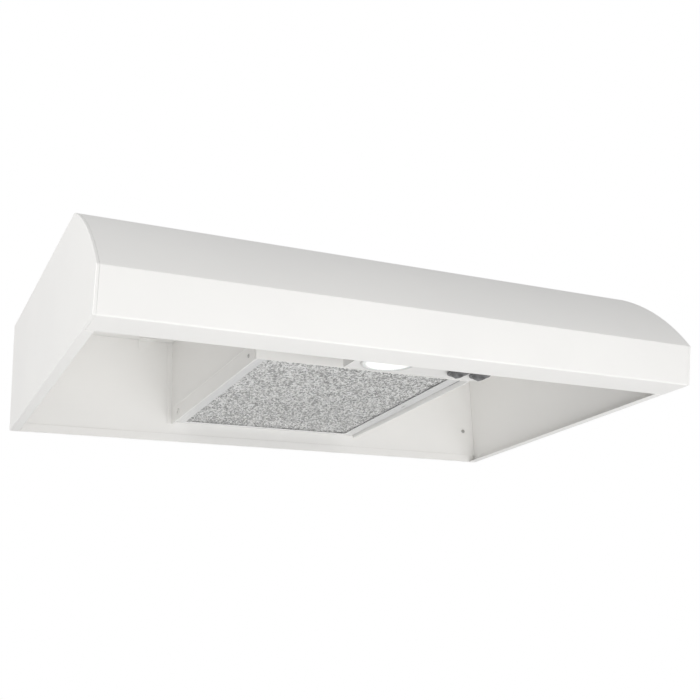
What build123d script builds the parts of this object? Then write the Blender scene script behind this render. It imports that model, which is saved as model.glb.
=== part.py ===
"""Under cabinet range hood: sheet-metal canopy, plenum box, mesh filter, lamp, controls, fan and damper.

Units are millimetres. +X runs along the hood's width to the right, +Y runs back to the wall and +Z is up.
The origin lies under the middle of the canopy, level with its bottom rim.
"""
import os
from math import cos, radians, sin

from build123d import *

# ---------------------------------------------------------------- driving dimensions
WIDTH = 758.8
DEPTH = 508.0
HEIGHT = 152.4
SHEET = 1.0
SEAM = 0.3

HALF_W = WIDTH / 2
BACK_Y = DEPTH / 2
FRONT_Y = -DEPTH / 2
WALL_Y = BACK_Y - 2 * SHEET
DECK_Z = HEIGHT - SHEET
UNDER_DECK_Z = DECK_Z - 0.1

# Curved front: a tight bend off the deck, a wide curve down to the crease, then a slanted fascia.
BEND_R = 9.9
BEND_TURN = 27.9
CURVE_R = 302.3
CURVE_TURN = 29.1
BEND_Y = (FRONT_Y + BEND_R * sin(radians(BEND_TURN))
          + CURVE_R * (sin(radians(BEND_TURN + CURVE_TURN)) - sin(radians(BEND_TURN))))
TONGUE = 12.0
FASCIA_FOOT_Y = FRONT_Y + 10.8
LIP_INNER_Y = -198.5
LIP_UPTURN = 12.0

# End panels
END_PLATE_X = HALF_W - SHEET
END_RING_X = HALF_W - 3.5
END_FLANGE_X = HALF_W - 15.4
END_LIP_X = HALF_W - 12.7
END_REAR_FLANGE_X = HALF_W - 24.4
BACK_SCREW_Z = 52.0
SHELL_HALF_W = END_RING_X - SEAM

CLEATS_X = (190.0, 325.0)

# Plenum box that carries the filter and the fan
BOX_HALF_W = 150.0
BOX_FRONT_Y = -89.0
BOX_BOTTOM_Z = 26.0
BOX_FLANGE = 12.0
REAR_FLANGE = 7.0
RAIL_THICK = 0.8
RAIL_TOP_Z = 49.5

# Filter
FILTER_HALF_W = 147.5
FILTER_BACK_Y = 251.0
FILTER_FRONT_Y = -86.5
FILTER_Z = 32.5
FILTER_THICK = 9.5
FILTER_RIM_SIDE = 17.0
FILTER_RIM_BACK = 6.0
FILTER_RIM_FRONT = 14.0
FILTER_SKIN = 1.0
FILTER_RECESS = 2.5
MESH_THICK = 0.7
MESH_LAYERS = (
    ("lower", FILTER_Z + FILTER_RECESS),
    ("core", FILTER_Z + FILTER_RECESS + 2.5),
    ("upper", FILTER_Z + FILTER_RECESS + 5.0),
)
PIVOT_Y = 217.5
PIVOT_Z = 37.0
PIN_R = 2.0
PIN_PLAY = 0.05
CATCH_Y = -66.0
CATCH_Z = 36.0

# Fan, motor and duct
FAN_Y = (BOX_FRONT_Y + WALL_Y) / 2
ORIFICE_R = 91.0
FAN_TIP_R = 84.0
FAN_Z = 126.0
FAN_BLADES = 5
HUB_R = 15.0
SHAFT_R = 4.0
SHAFT_PLAY = 0.05
MOTOR_R = 39.0
MOTOR_WALL = 2.0
MOTOR_BOTTOM_Z = 52.0
MOTOR_JOIN_Z = 88.0
BRACKET_Z = 98.0
BRACKET_THICK = 1.5
BRACKET_HALF_W = 17.0
BRACKET_LEG_Z = BRACKET_Z + 10
COLLAR_R = 88.4
COLLAR_WALL = 0.8
COLLAR_FLANGE_R = 106.0
COLLAR_TOP_Z = HEIGHT + 32.0
COLLAR_SCREW_R = 98.0
DAMPER_Z = 172.0
DAMPER_ROD_R = 1.6
DAMPER_KNUCKLE_R = 2.7
DAMPER_SKIN = 0.6
DAMPER_FLAP_R = 86.6

# Fastening to the cabinet and electrical entry
SLOT_SPACING_X = 650.0
SLOT_SPACING_Y = 230.0
SLOT_CENTRE_Y = 75.0
SLOT_R = 3.0
SLOT_LENGTH = 16.0
ENTRY_R = 11.1
ENTRY_X = -113.0
ENTRY_Y = 206.0
ENTRY_REAR_Z = 126.0
WIRE_BOX = (-148.8, -76.0, 152.0, 251.9, 98.0, UNDER_DECK_Z)

# Control panel, lamp and knobs
PANEL_Z = 15.0
PANEL_X = (-52.0, 140.0)
PANEL_BACK_Y = -123.0
PANEL_FRONT_Y = LIP_INNER_Y + SHEET + 0.1
PANEL_FLANGE_TOP_Z = 48.0
STRAP_Z = 42.0
LAMP_X = -9.0
LAMP_Y = -161.0
LENS_R = 33.0
BEZEL_R = 35.2
KNOB_X = (88.5, 120.5)
KNOB_Y = -156.0
KNOB_TURN = (33.0, 54.0)
KNOB_R = 14.5
KNOB_FOOT_Z = 2.6
KNOB_SKIRT_Z = 10.0
KNOB_TOP_Z = 13.1
SWITCH_SHAFT_R = 3.0
SWITCH_BUSH_R = 4.7

SWITCH_TOP_Z = 34.0
LAMPHOLDER_TOP_Z = 66.0

# Internal leads
LEAD_R = 3.0
LEAD_BEND_R = 12.0
LAMP_BEND_R = 9.0
LEAD_HOLES_X = (-113.0, 113.0)
LEAD_Z = 132.0
GROMMET_R = 6.0


# ---------------------------------------------------------------- helpers
def block(x0, x1, y0, y1, z0, z1):
    """A box between two corners."""
    size = Box(x1 - x0, y1 - y0, z1 - z0)
    return Pos((x0 + x1) / 2, (y0 + y1) / 2, (z0 + z1) / 2) * size


def rod_z(radius, x, y, z0, z1):
    """An upright cylinder."""
    return Pos(x, y, (z0 + z1) / 2) * Cylinder(radius, z1 - z0)


def rod_x(radius, x0, x1, y, z):
    """A cylinder along X."""
    return Pos((x0 + x1) / 2, y, z) * Rot(0, 90, 0) * Cylinder(radius, x1 - x0)


def rod_y(radius, x, y0, y1, z):
    """A cylinder along Y."""
    return Pos(x, (y0 + y1) / 2, z) * Rot(90, 0, 0) * Cylinder(radius, y1 - y0)


def both_sides(shape):
    """The shape and its mirror image across the middle of the hood."""
    return [shape, mirror(shape, about=Plane.YZ)]


def pan_screw(length, head_r=3.6, head_h=2.2, shank_r=2.0):
    """A pan-head screw on Z: its head below z = 0 and its shank above."""
    head = rod_z(head_r, 0, 0, -head_h, 0)
    head = chamfer(head.edges().group_by(Axis.Z)[0], head_h * 0.4)
    driver = block(-head_r * 0.6, head_r * 0.6, -0.4, 0.4, -head_h, -head_h * 0.5)
    cross = driver + Rot(0, 0, 90) * driver
    return head + rod_z(shank_r, 0, 0, 0, length) - cross


def save(name, *shapes):
    """Write one sub-part, made of one or more separate solids."""
    solids = [solid for shape in shapes for solid in shape.solids()]
    export_step(solids[0] if len(solids) == 1 else Compound(solids), f"parts/{name}.step")


# ---------------------------------------------------------------- canopy profile
def canopy_profile(inset=0.0):
    """The hood's side outline as a face on the YZ plane, moved inwards by inset."""
    turn_1 = radians(BEND_TURN)
    turn_2 = radians(BEND_TURN + CURVE_TURN)
    bend_centre = (BEND_Y, HEIGHT - BEND_R)
    curve_centre = (
        bend_centre[0] + (CURVE_R - BEND_R) * sin(turn_1),
        bend_centre[1] - (CURVE_R - BEND_R) * cos(turn_1),
    )

    def on_arc(centre, radius, turn):
        return (centre[0] - radius * sin(turn), centre[1] + radius * cos(turn))

    bend_mid = on_arc(bend_centre, BEND_R, turn_1 / 2)
    bend_end = on_arc(bend_centre, BEND_R, turn_1)
    curve_mid = on_arc(curve_centre, CURVE_R, (turn_1 + turn_2) / 2)
    crease = on_arc(curve_centre, CURVE_R, turn_2)
    outline = (
        Line((BACK_Y, 0), (BACK_Y, HEIGHT))
        + Line((BACK_Y, HEIGHT), (BEND_Y, HEIGHT))
        + ThreePointArc((BEND_Y, HEIGHT), bend_mid, bend_end)
        + ThreePointArc(bend_end, curve_mid, crease)
        + Line(crease, (FASCIA_FOOT_Y, 0))
        + Line((FASCIA_FOOT_Y, 0), (BACK_Y, 0))
    )
    face = make_face(outline)
    if inset:
        face = offset(face, amount=-inset, kind=Kind.INTERSECTION)
    return Plane.YZ * face


def profile_slab(x0, x1, inset=0.0):
    """The canopy profile run along X from x0 to x1."""
    return Pos(x0, 0, 0) * extrude(canopy_profile(inset), amount=x1 - x0, dir=(1, 0, 0))


def profile_band(x0, x1, outer, inner):
    """The band between two insets of the profile, run along X."""
    return profile_slab(x0, x1, outer) - profile_slab(x0 - 1, x1 + 1, inner)


def collar_screw_places():
    """Centres of the four holes that take the duct collar's screws."""
    angles = [radians(angle) for angle in range(45, 360, 90)]
    return [(COLLAR_SCREW_R * cos(angle), FAN_Y + COLLAR_SCREW_R * sin(angle)) for angle in angles]


# ---------------------------------------------------------------- canopy sheets
def top_deck():
    """Flat deck with the fan orifice, cabinet slots, collar screw holes and wiring hole."""
    deck = block(-SHELL_HALF_W, SHELL_HALF_W, BEND_Y + 0.05, BACK_Y, DECK_Z, HEIGHT)
    deck -= rod_z(ORIFICE_R, 0, FAN_Y, DECK_Z - 1, HEIGHT + 1)
    deck -= rod_z(ENTRY_R, ENTRY_X, ENTRY_Y, DECK_Z - 1, HEIGHT + 1)
    for x in (-SLOT_SPACING_X / 2, SLOT_SPACING_X / 2):
        for y in (SLOT_CENTRE_Y - SLOT_SPACING_Y / 2, SLOT_CENTRE_Y + SLOT_SPACING_Y / 2):
            slot = extrude(SlotOverall(SLOT_LENGTH, 2 * SLOT_R), amount=3 * SHEET)
            deck -= Pos(x, y, DECK_Z - SHEET) * slot
    for x, y in collar_screw_places():
        deck -= rod_z(2.1, x, y, DECK_Z - 1, HEIGHT + 1)
    return deck


def front_panel():
    """Curved front, fascia and front lip bent from one sheet, with a tongue that tucks under the deck."""
    panel = profile_band(-SHELL_HALF_W, SHELL_HALF_W, 0, SHEET)
    panel -= block(-WIDTH, WIDTH, BEND_Y - 0.05, BACK_Y + 1, SHEET + 1, HEIGHT + 1)
    panel -= block(-WIDTH, WIDTH, LIP_INNER_Y, BACK_Y + 1, -1, SHEET + 2)
    panel += block(-SHELL_HALF_W, SHELL_HALF_W, LIP_INNER_Y - SHEET, LIP_INNER_Y, SHEET, LIP_UPTURN)
    half = END_FLANGE_X - SEAM
    panel += block(-half, half, BEND_Y - 1.2, BEND_Y - 0.05, UNDER_DECK_Z - SHEET, DECK_Z + 0.2)
    return panel + block(-half, half, BEND_Y - 1.2, BEND_Y + TONGUE, UNDER_DECK_Z - SHEET, UNDER_DECK_Z)


def end_panel():
    """Right end panel: plate, hemmed rim, flange under the shell, bottom lip and rear flange."""
    panel = profile_slab(END_PLATE_X, HALF_W)
    panel += profile_band(END_RING_X, END_PLATE_X, 0, SHEET)
    gap = 0.15
    flange = profile_band(END_FLANGE_X, END_PLATE_X, SHEET + gap, 2 * SHEET + gap)
    flange -= block(0, WIDTH, 232, BACK_Y + 1, -1, HEIGHT + 1)
    flange -= block(0, WIDTH, FRONT_Y - 1, BACK_Y, -1, 8)
    panel += flange
    panel += block(END_LIP_X, END_PLATE_X, LIP_INNER_Y + SEAM, WALL_Y, 0, SHEET)
    rear = block(END_REAR_FLANGE_X, END_PLATE_X, BACK_Y - SHEET, BACK_Y, 0, UNDER_DECK_Z)
    rear -= rod_y(2.0, HALF_W - 21, BACK_Y - 3, BACK_Y + 1, BACK_SCREW_Z)
    return panel + rear


def back_panel():
    """Back wall with a hemmed foot, corner notches and a rear wiring hole."""
    half = END_RING_X - SEAM
    wall = block(-half, half, WALL_Y, BACK_Y - SHEET - 0.05, 0, UNDER_DECK_Z)
    wall += block(-half + 12, half - 12, WALL_Y - 0.8, WALL_Y, 0, 12)
    for notch in both_sides(block(half - 3, half + 1, WALL_Y - 2, BACK_Y, 5, 11)):
        wall -= notch
    for hole in both_sides(rod_y(2.0, HALF_W - 21, WALL_Y - 1, BACK_Y, BACK_SCREW_Z)):
        wall -= hole
    return wall - rod_y(ENTRY_R, ENTRY_X, WALL_Y - 1, BACK_Y, ENTRY_REAR_Z)


def deck_cleats():
    """Four short angle cleats that join the back wall to the deck."""
    cleats = []
    for x in CLEATS_X:
        cleat = block(x - 12, x + 12, WALL_Y - 14, WALL_Y - 0.05, DECK_Z - 1.25, DECK_Z - 0.05)
        cleat += block(x - 12, x + 12, WALL_Y - 1.25, WALL_Y - 0.05, DECK_Z - 14, DECK_Z - 0.05)
        cleats += both_sides(cleat)
    return cleats


# ---------------------------------------------------------------- plenum box
def partition():
    """Right side wall of the plenum box, with flanges to the back wall and under the deck."""
    inner = BOX_HALF_W - SHEET
    front = BOX_FRONT_Y + SHEET + 0.05
    wall = block(inner, BOX_HALF_W, front, WALL_Y - 0.1, BOX_BOTTOM_Z, UNDER_DECK_Z)
    wall += block(inner, BOX_HALF_W + REAR_FLANGE, WALL_Y - SHEET - 0.1, WALL_Y - 0.1,
                  BOX_BOTTOM_Z, UNDER_DECK_Z)
    wall += block(inner, BOX_HALF_W + BOX_FLANGE, front, WALL_Y - 16, UNDER_DECK_Z - SHEET, UNDER_DECK_Z)
    wall -= rod_x(3.5, inner - 1, BOX_HALF_W + 1, PIVOT_Y, PIVOT_Z)
    wall -= rod_x(1.6, inner - 1, BOX_HALF_W + 1, CATCH_Y, CATCH_Z)
    for dy in (-10, 10):
        wall -= rod_x(2.0, inner - 1, BOX_HALF_W + 1, FAN_Y + dy, BRACKET_LEG_Z)
    return wall


def filter_rail():
    """Right reinforcing strip along the lower edge of the side wall."""
    rail = block(BOX_HALF_W + 0.02, BOX_HALF_W + RAIL_THICK, BOX_FRONT_Y + 5, WALL_Y - 8,
                 BOX_BOTTOM_Z, RAIL_TOP_Z)
    rail -= rod_x(3.5, BOX_HALF_W - 1, BOX_HALF_W + 2, PIVOT_Y, PIVOT_Z)
    return rail - rod_x(1.6, BOX_HALF_W - 1, BOX_HALF_W + 2, CATCH_Y, CATCH_Z)


def plenum_front_wall():
    """Front wall of the plenum box, with side flanges, a top flange and two lead holes."""
    wall = block(-BOX_HALF_W, BOX_HALF_W, BOX_FRONT_Y, BOX_FRONT_Y + SHEET, BOX_BOTTOM_Z, UNDER_DECK_Z)
    inner = BOX_HALF_W - SHEET - 0.05
    for side in both_sides(block(inner - SHEET, inner, BOX_FRONT_Y, BOX_FRONT_Y + BOX_FLANGE,
                                 BOX_BOTTOM_Z, UNDER_DECK_Z)):
        wall += side
    wall += block(-BOX_HALF_W, BOX_HALF_W, BOX_FRONT_Y - BOX_FLANGE, BOX_FRONT_Y,
                  UNDER_DECK_Z - SHEET, UNDER_DECK_Z)
    for x in LEAD_HOLES_X:
        wall -= rod_y(GROMMET_R, x, BOX_FRONT_Y - 1, BOX_FRONT_Y + 2, LEAD_Z)
    return wall


def harness_grommets():
    """Rubber grommets that line the lead holes."""
    rings = []
    for x in LEAD_HOLES_X:
        ring = rod_y(GROMMET_R - 0.05, x, BOX_FRONT_Y - 1.5, BOX_FRONT_Y + SHEET + 1.5, LEAD_Z)
        ring += rod_y(GROMMET_R + 2.5, x, BOX_FRONT_Y - 1.6, BOX_FRONT_Y - 0.05, LEAD_Z)
        ring += rod_y(GROMMET_R + 2.5, x, BOX_FRONT_Y + SHEET + 0.05, BOX_FRONT_Y + SHEET + 1.6, LEAD_Z)
        ring -= rod_y(LEAD_R + 0.1, x, BOX_FRONT_Y - 5, BOX_FRONT_Y + 5, LEAD_Z)
        rings.append(ring)
    return rings


# ---------------------------------------------------------------- filter
def filter_frame():
    """Folded frame that grips the mesh: an open rim below and above and a web around the edge."""
    x = FILTER_HALF_W
    frame = block(-x, x, FILTER_FRONT_Y, FILTER_BACK_Y, FILTER_Z, FILTER_Z + FILTER_THICK)
    frame = fillet(frame.edges().filter_by(Axis.Z), 4)
    inner_x = x - FILTER_SKIN
    frame -= block(-inner_x, inner_x, FILTER_FRONT_Y + FILTER_SKIN, FILTER_BACK_Y - FILTER_SKIN,
                   FILTER_Z + FILTER_SKIN, FILTER_Z + FILTER_THICK - FILTER_SKIN)
    window_x = x - FILTER_RIM_SIDE
    window = block(-window_x, window_x, FILTER_FRONT_Y + FILTER_RIM_FRONT,
                   FILTER_BACK_Y - FILTER_RIM_BACK, FILTER_Z - 1, FILTER_Z + FILTER_THICK + 1)
    frame -= fillet(window.edges().filter_by(Axis.Z), 6)
    for hole in both_sides(rod_x(PIN_R + 0.02, x - 3, x + 1, PIVOT_Y, PIVOT_Z)):
        frame -= hole
    seam_x = x - FILTER_RIM_SIDE * 0.45
    return frame - block(seam_x - 0.6, seam_x + 0.6, 64, 76, FILTER_Z - 1, FILTER_Z + FILTER_SKIN + 1)


def filter_layer(bottom, thickness):
    """One layer of the filter's expanded mesh, as a plain sheet of its outer size."""
    x = FILTER_HALF_W - FILTER_SKIN - 0.1
    clear = 0.1 + FILTER_SKIN
    sheet = block(-x, x, FILTER_FRONT_Y + clear, FILTER_BACK_Y - clear, bottom, bottom + thickness)
    for corner in both_sides(rod_x(PIN_R + 1.5, x - 8, x + 1, PIVOT_Y, PIVOT_Z)):
        sheet -= corner
    return sheet


def filter_pivot_pin():
    """Right pivot pin, held in the filter frame's side and headed inside it."""
    pin = rod_x(PIN_R, FILTER_HALF_W - FILTER_SKIN - 0.1, BOX_HALF_W + 0.8, PIVOT_Y, PIVOT_Z)
    return pin + rod_x(PIN_R + 1.2, FILTER_HALF_W - 4, FILTER_HALF_W - FILTER_SKIN - 0.1, PIVOT_Y, PIVOT_Z)


def pivot_bush():
    """Right nylon bush that carries the pivot pin in the side wall."""
    bush = rod_x(3.45, BOX_HALF_W - SHEET, BOX_HALF_W + RAIL_THICK + 0.05, PIVOT_Y, PIVOT_Z)
    bush += rod_x(4.6, BOX_HALF_W + RAIL_THICK + 0.05, BOX_HALF_W + RAIL_THICK + 1.25, PIVOT_Y, PIVOT_Z)
    return bush - rod_x(PIN_R + PIN_PLAY, BOX_HALF_W - 5, BOX_HALF_W + 5, PIVOT_Y, PIVOT_Z)


def filter_catch():
    """Right leaf spring that grips the frame's side near its front corner."""
    wall = BOX_HALF_W - SHEET - 0.02
    leaf = block(wall - 0.4, wall, CATCH_Y - 6, CATCH_Y + 26, CATCH_Z - 6, CATCH_Z + 6)
    nose = rod_z(6, wall + 4.9, CATCH_Y + 20, CATCH_Z - 6, CATCH_Z + 6)
    leaf += nose & block(wall - 5, wall, CATCH_Y, CATCH_Y + 40, 0, HEIGHT)
    return leaf - rod_x(1.6, wall - 3, wall + 3, CATCH_Y, CATCH_Z)


def catch_rivet():
    """Right rivet that holds the catch, headed on the outer side."""
    outer = BOX_HALF_W + RAIL_THICK + 0.05
    rivet = rod_x(1.55, BOX_HALF_W - SHEET - 0.42, outer, CATCH_Y, CATCH_Z)
    head = rod_x(2.4, outer, outer + 1.0, CATCH_Y, CATCH_Z)
    return rivet + chamfer(head.edges().group_by(Axis.X)[-1], 0.5)


# ---------------------------------------------------------------- fan and motor
def fan_blade():
    """Five pitched blades on a hub."""
    hub = rod_z(HUB_R, 0, 0, -12, 10)
    hub = fillet(hub.edges().group_by(Axis.Z)[-1], 3)
    fan = hub
    for index in range(FAN_BLADES):
        sector = Rot(0, 0, -27) * make_face(
            Line((0, 0), (FAN_TIP_R, 0))
            + CenterArc((0, 0), FAN_TIP_R, 0, 54)
            + Line((FAN_TIP_R * cos(radians(54)), FAN_TIP_R * sin(radians(54))), (0, 0))
        )
        plate = Pos(0, 0, -0.6) * extrude(sector, amount=1.2, dir=(0, 0, 1))
        plate -= Cylinder(HUB_R - 4, 40)
        blade = Rot(25, 0, 0) * plate
        fan += Rot(0, 0, index * 360 / FAN_BLADES) * blade
    fan -= Cylinder(SHAFT_R + 0.02, 60)
    return Pos(0, FAN_Y, FAN_Z) * fan


def motor_shaft():
    """Rotor shaft from the lower bearing to the blade nut."""
    shaft = rod_z(SHAFT_R, 0, FAN_Y, MOTOR_BOTTOM_Z + 1, FAN_Z + 18)
    return chamfer(shaft.edges().group_by(Axis.Z)[-1], 0.8)


def motor_rotor():
    """Laminated rotor on the shaft."""
    rotor = rod_z(20, 0, FAN_Y, 60, 82)
    return rotor - rod_z(SHAFT_R + 0.02, 0, FAN_Y, 50, 90)


def motor_stator():
    """Laminated stator ring with coil ends."""
    ring = rod_z(MOTOR_R - MOTOR_WALL - 0.1, 0, FAN_Y, 61, 81)
    coil = rod_z(32, 0, FAN_Y, 57, 85) - rod_z(23, 0, FAN_Y, 50, 90)
    return ring + coil - rod_z(20.6, 0, FAN_Y, 50, 90)


def motor_can():
    """Lower motor housing: a cup with vent slots, a bearing boss and a lead hole."""
    cup = rod_z(MOTOR_R, 0, FAN_Y, MOTOR_BOTTOM_Z, MOTOR_JOIN_Z)
    cup = fillet(cup.edges().group_by(Axis.Z)[0], 5)
    cup -= rod_z(MOTOR_R - MOTOR_WALL, 0, FAN_Y, MOTOR_BOTTOM_Z + 3, MOTOR_JOIN_Z + 1)
    for index in range(10):
        slot = block(22, 32, -2, 2, -1, 5)
        cup -= Pos(0, FAN_Y, MOTOR_BOTTOM_Z) * Rot(0, 0, index * 36) * slot
    cup -= rod_x(LEAD_R + 0.2, 30, 50, FAN_Y, 74)
    return cup - rod_z(SHAFT_R + SHAFT_PLAY, 0, FAN_Y, MOTOR_BOTTOM_Z - 1, MOTOR_BOTTOM_Z + 9)


def motor_end_cap():
    """Upper motor housing with the top bearing and two screw bosses."""
    top = BRACKET_Z - 0.05
    cap = rod_z(MOTOR_R, 0, FAN_Y, MOTOR_JOIN_Z + 0.05, top)
    cap = fillet(cap.edges().group_by(Axis.Z)[-1], 4)
    cap -= rod_z(MOTOR_R - MOTOR_WALL, 0, FAN_Y, MOTOR_JOIN_Z - 1, top - 3)
    cap -= rod_z(SHAFT_R + SHAFT_PLAY, 0, FAN_Y, 80, top + 1)
    for x in (-26, 26):
        cap -= rod_z(2.0, x, FAN_Y, 90, top + 1)
    return cap


def motor_bracket():
    """Strap across the plenum box that the motor hangs from."""
    half = BOX_HALF_W - SHEET - 0.1
    top = BRACKET_Z + BRACKET_THICK
    y0 = FAN_Y - BRACKET_HALF_W
    y1 = FAN_Y + BRACKET_HALF_W
    strap = block(-half, half, y0, y1, BRACKET_Z, top)
    for leg in both_sides(block(half - BRACKET_THICK, half, y0, y1, BRACKET_Z, BRACKET_Z + 20)):
        strap += leg
    strap += rod_z(34, 0, FAN_Y, BRACKET_Z, top)
    strap -= rod_z(10, 0, FAN_Y, 80, 120)
    for x in (-26, 26):
        strap -= rod_z(2.1, x, FAN_Y, 80, 120)
    for dy in (-10, 10):
        strap -= rod_x(2.0, -WIDTH, WIDTH, FAN_Y + dy, BRACKET_LEG_Z)
    return strap


def motor_screws():
    """Two screws through the bracket into the motor's end cap."""
    return [Pos(x, FAN_Y, BRACKET_Z + BRACKET_THICK + 0.05) * Rot(180, 0, 0) * pan_screw(4.4, shank_r=1.95)
            for x in (-26, 26)]


def bracket_screws():
    """Screws from outside each side wall into the bracket's legs."""
    screws = []
    for dy in (-10, 10):
        screw = Rot(0, -90, 0) * pan_screw(3.2, shank_r=1.95)
        placed = Pos(BOX_HALF_W + 0.05, FAN_Y + dy, BRACKET_LEG_Z) * screw
        screws += both_sides(placed)
    return screws


def blade_nut():
    """Hexagon nut that clamps the blade to the shaft."""
    nut = extrude(RegularPolygon(8, 6), amount=5)
    nut -= Cylinder(SHAFT_R + 0.02, 20)
    return Pos(0, FAN_Y, FAN_Z + 10.05) * nut


# ---------------------------------------------------------------- duct collar and damper
def duct_collar():
    """Round collar for a 7 in duct, with a screw flange, rod holes and damper stops."""
    inner_r = COLLAR_R - COLLAR_WALL
    collar = rod_z(COLLAR_FLANGE_R, 0, FAN_Y, HEIGHT + 0.02, HEIGHT + SHEET)
    collar += rod_z(COLLAR_R, 0, FAN_Y, HEIGHT + 0.02, COLLAR_TOP_Z)
    collar -= rod_z(inner_r, 0, FAN_Y, HEIGHT - 1, COLLAR_TOP_Z + 1)
    stop_z = DAMPER_Z - DAMPER_KNUCKLE_R - 0.3
    for angle in (35, 145, 215, 325):
        stop = block(inner_r - 4, inner_r + 0.4, -4, 4, stop_z - 1.5, stop_z)
        collar += Pos(0, FAN_Y, 0) * Rot(0, 0, angle) * stop
    for x, y in collar_screw_places():
        collar -= rod_z(2.1, x, y, HEIGHT - 1, HEIGHT + 3)
    return collar - rod_x(DAMPER_ROD_R, -COLLAR_R - 1, COLLAR_R + 1, FAN_Y, DAMPER_Z)


def collar_screws():
    """Four screws that fix the collar to the deck."""
    screw = Rot(180, 0, 0) * pan_screw(4.5)
    return [Pos(x, y, HEIGHT + SHEET + 0.05) * screw for x, y in collar_screw_places()]


def damper_rod():
    """Rod across the collar that both flaps turn on."""
    return rod_x(DAMPER_ROD_R - 0.01, -COLLAR_R + 0.2, COLLAR_R - 0.2, FAN_Y, DAMPER_Z)


KNUCKLES_REAR = ((-70, -50), (30, 50))
KNUCKLES_FRONT = ((-50, -30), (50, 70))


def damper_flap(own, other):
    """Half-moon flap on the +Y side of the rod, with its own knuckles and cut-outs for the other's."""
    low = -DAMPER_KNUCKLE_R
    half_moon = Cylinder(DAMPER_FLAP_R, DAMPER_SKIN) & block(-100, 100, 0.4, 100, -1, 1)
    flap = Pos(0, 0, low + DAMPER_SKIN / 2) * half_moon
    for x0, x1 in other:
        flap -= block(x0 - 0.5, x1 + 0.5, -1, DAMPER_KNUCKLE_R + 0.5, -5, 5)
    for x0, x1 in own:
        flap += rod_x(DAMPER_KNUCKLE_R, x0 + 0.3, x1 - 0.3, 0, 0)
        flap -= rod_x(DAMPER_ROD_R + 0.05, x0 - 1, x1 + 1, 0, 0)
    ends = [block(x0, x0 + 14, -1, 3.2, -5, 5) for x0 in (-100, 86)]
    for end in ends:
        flap -= end
    return flap


def damper_flap_rear():
    """Flap behind the rod."""
    return Pos(0, FAN_Y, DAMPER_Z) * damper_flap(KNUCKLES_REAR, KNUCKLES_FRONT)


def damper_flap_front():
    """Flap in front of the rod."""
    turned = [(-x1, -x0) for x0, x1 in KNUCKLES_FRONT]
    other = [(-x1, -x0) for x0, x1 in KNUCKLES_REAR]
    return Pos(0, FAN_Y, DAMPER_Z) * Rot(0, 0, 180) * damper_flap(turned, other)


# ---------------------------------------------------------------- wiring compartment and leads
def wiring_box():
    """Bent sheet that walls off the plenum's back left corner, with a foot flange for the cover."""
    x0, x1, y0, y1, z0, z1 = WIRE_BOX
    walls = block(x0, x1, y0, y0 + SHEET, z0, z1) + block(x1 - SHEET, x1, y0, y1, z0, z1)
    walls += block(x1 - SHEET, x1 + 9, y0, y1 - 14, z0, z0 + SHEET)
    for y in (y0 + 20, y1 - 34):
        walls -= rod_z(1.5, x1 + 4.5, y, z0 - 1, z0 + 2)
    return walls - rod_y(LEAD_R + 0.1, LEAD_HOLES_X[0], y0 - 1, y0 + 2, LEAD_Z)


def wiring_cover():
    """Cover under the wiring compartment."""
    x0, x1, y0, y1, z0, z1 = WIRE_BOX
    cover = block(x0, x1 + 9, y0, y1 - 0.5, z0 - SHEET - 0.05, z0 - 0.05)
    for y in (y0 + 20, y1 - 34):
        cover -= rod_z(1.5, x1 + 4.5, y, z0 - 3, z0 + 2)
    return cover


def wiring_screws():
    """Two screws that hold the wiring cover."""
    x0, x1, y0, y1, z0, z1 = WIRE_BOX
    screw = pan_screw(4, head_r=3.2, shank_r=1.45)
    return [Pos(x1 + 4.5, y, z0 - SHEET - 0.1) * screw for y in (y0 + 20, y1 - 34)]


def terminal_block():
    """Three-pole terminal block under the deck."""
    top = DECK_Z - 0.05
    body = block(-99, -81, 168, 198, top - 16, top)
    for index in range(3):
        y = 173 + 10 * index
        body -= rod_z(2.6, -90, y, top - 17, top - 10)
    return body


def lead(points, bend_r=LEAD_BEND_R):
    """Round lead along straight runs joined by tangent arcs."""
    path = FilletPolyline(*points, radius=bend_r)
    start = Plane(origin=path @ 0, z_dir=path % 0)
    return sweep(start * Circle(LEAD_R), path=path)


def supply_lead():
    """Lead from the wiring compartment to the fan switch."""
    x = LEAD_HOLES_X[0]
    return lead([(x, WIRE_BOX[2] + SHEET + 6, LEAD_Z), (x, -118, LEAD_Z), (-60, -140, 112),
                 (40, -150, 96), (KNOB_X[0], KNOB_Y, 80), (KNOB_X[0], KNOB_Y, SWITCH_TOP_Z + 0.05)])


def motor_lead():
    """Lead from the light switch's side of the panel back to the motor."""
    x = LEAD_HOLES_X[1]
    return lead([(KNOB_X[1], KNOB_Y, SWITCH_TOP_Z + 0.05), (KNOB_X[1], KNOB_Y, 92), (x, -122, LEAD_Z),
                 (x, -40, LEAD_Z), (x, 10, 74), (x - 22, FAN_Y, 74), (MOTOR_R - 1.0, FAN_Y, 74)])


def lamp_lead():
    """Lead from the light switch over to the lampholder."""
    x = KNOB_X[1] - 7
    y = KNOB_Y - 8
    return lead([(x, y, SWITCH_TOP_Z + 0.05), (x, y, 88), (LAMP_X, y, 88), (LAMP_X, y, LAMPHOLDER_TOP_Z + 0.05)],
                LAMP_BEND_R)


def harness_clips():
    """Two clips that hold the supply lead under the deck."""
    clips = []
    for y in (110, -20):
        x = LEAD_HOLES_X[0]
        clip = rod_y(LEAD_R + 1.2, x, y - 5, y + 5, LEAD_Z)
        clip += block(x - 1.2, x + 1.2, y - 5, y + 5, LEAD_Z + LEAD_R, UNDER_DECK_Z)
        clip += block(x - 7, x + 7, y - 5, y + 5, UNDER_DECK_Z - 1.2, UNDER_DECK_Z)
        clips.append(clip - rod_y(LEAD_R + 0.1, x, y - 10, y + 10, LEAD_Z))
    return clips


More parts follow.
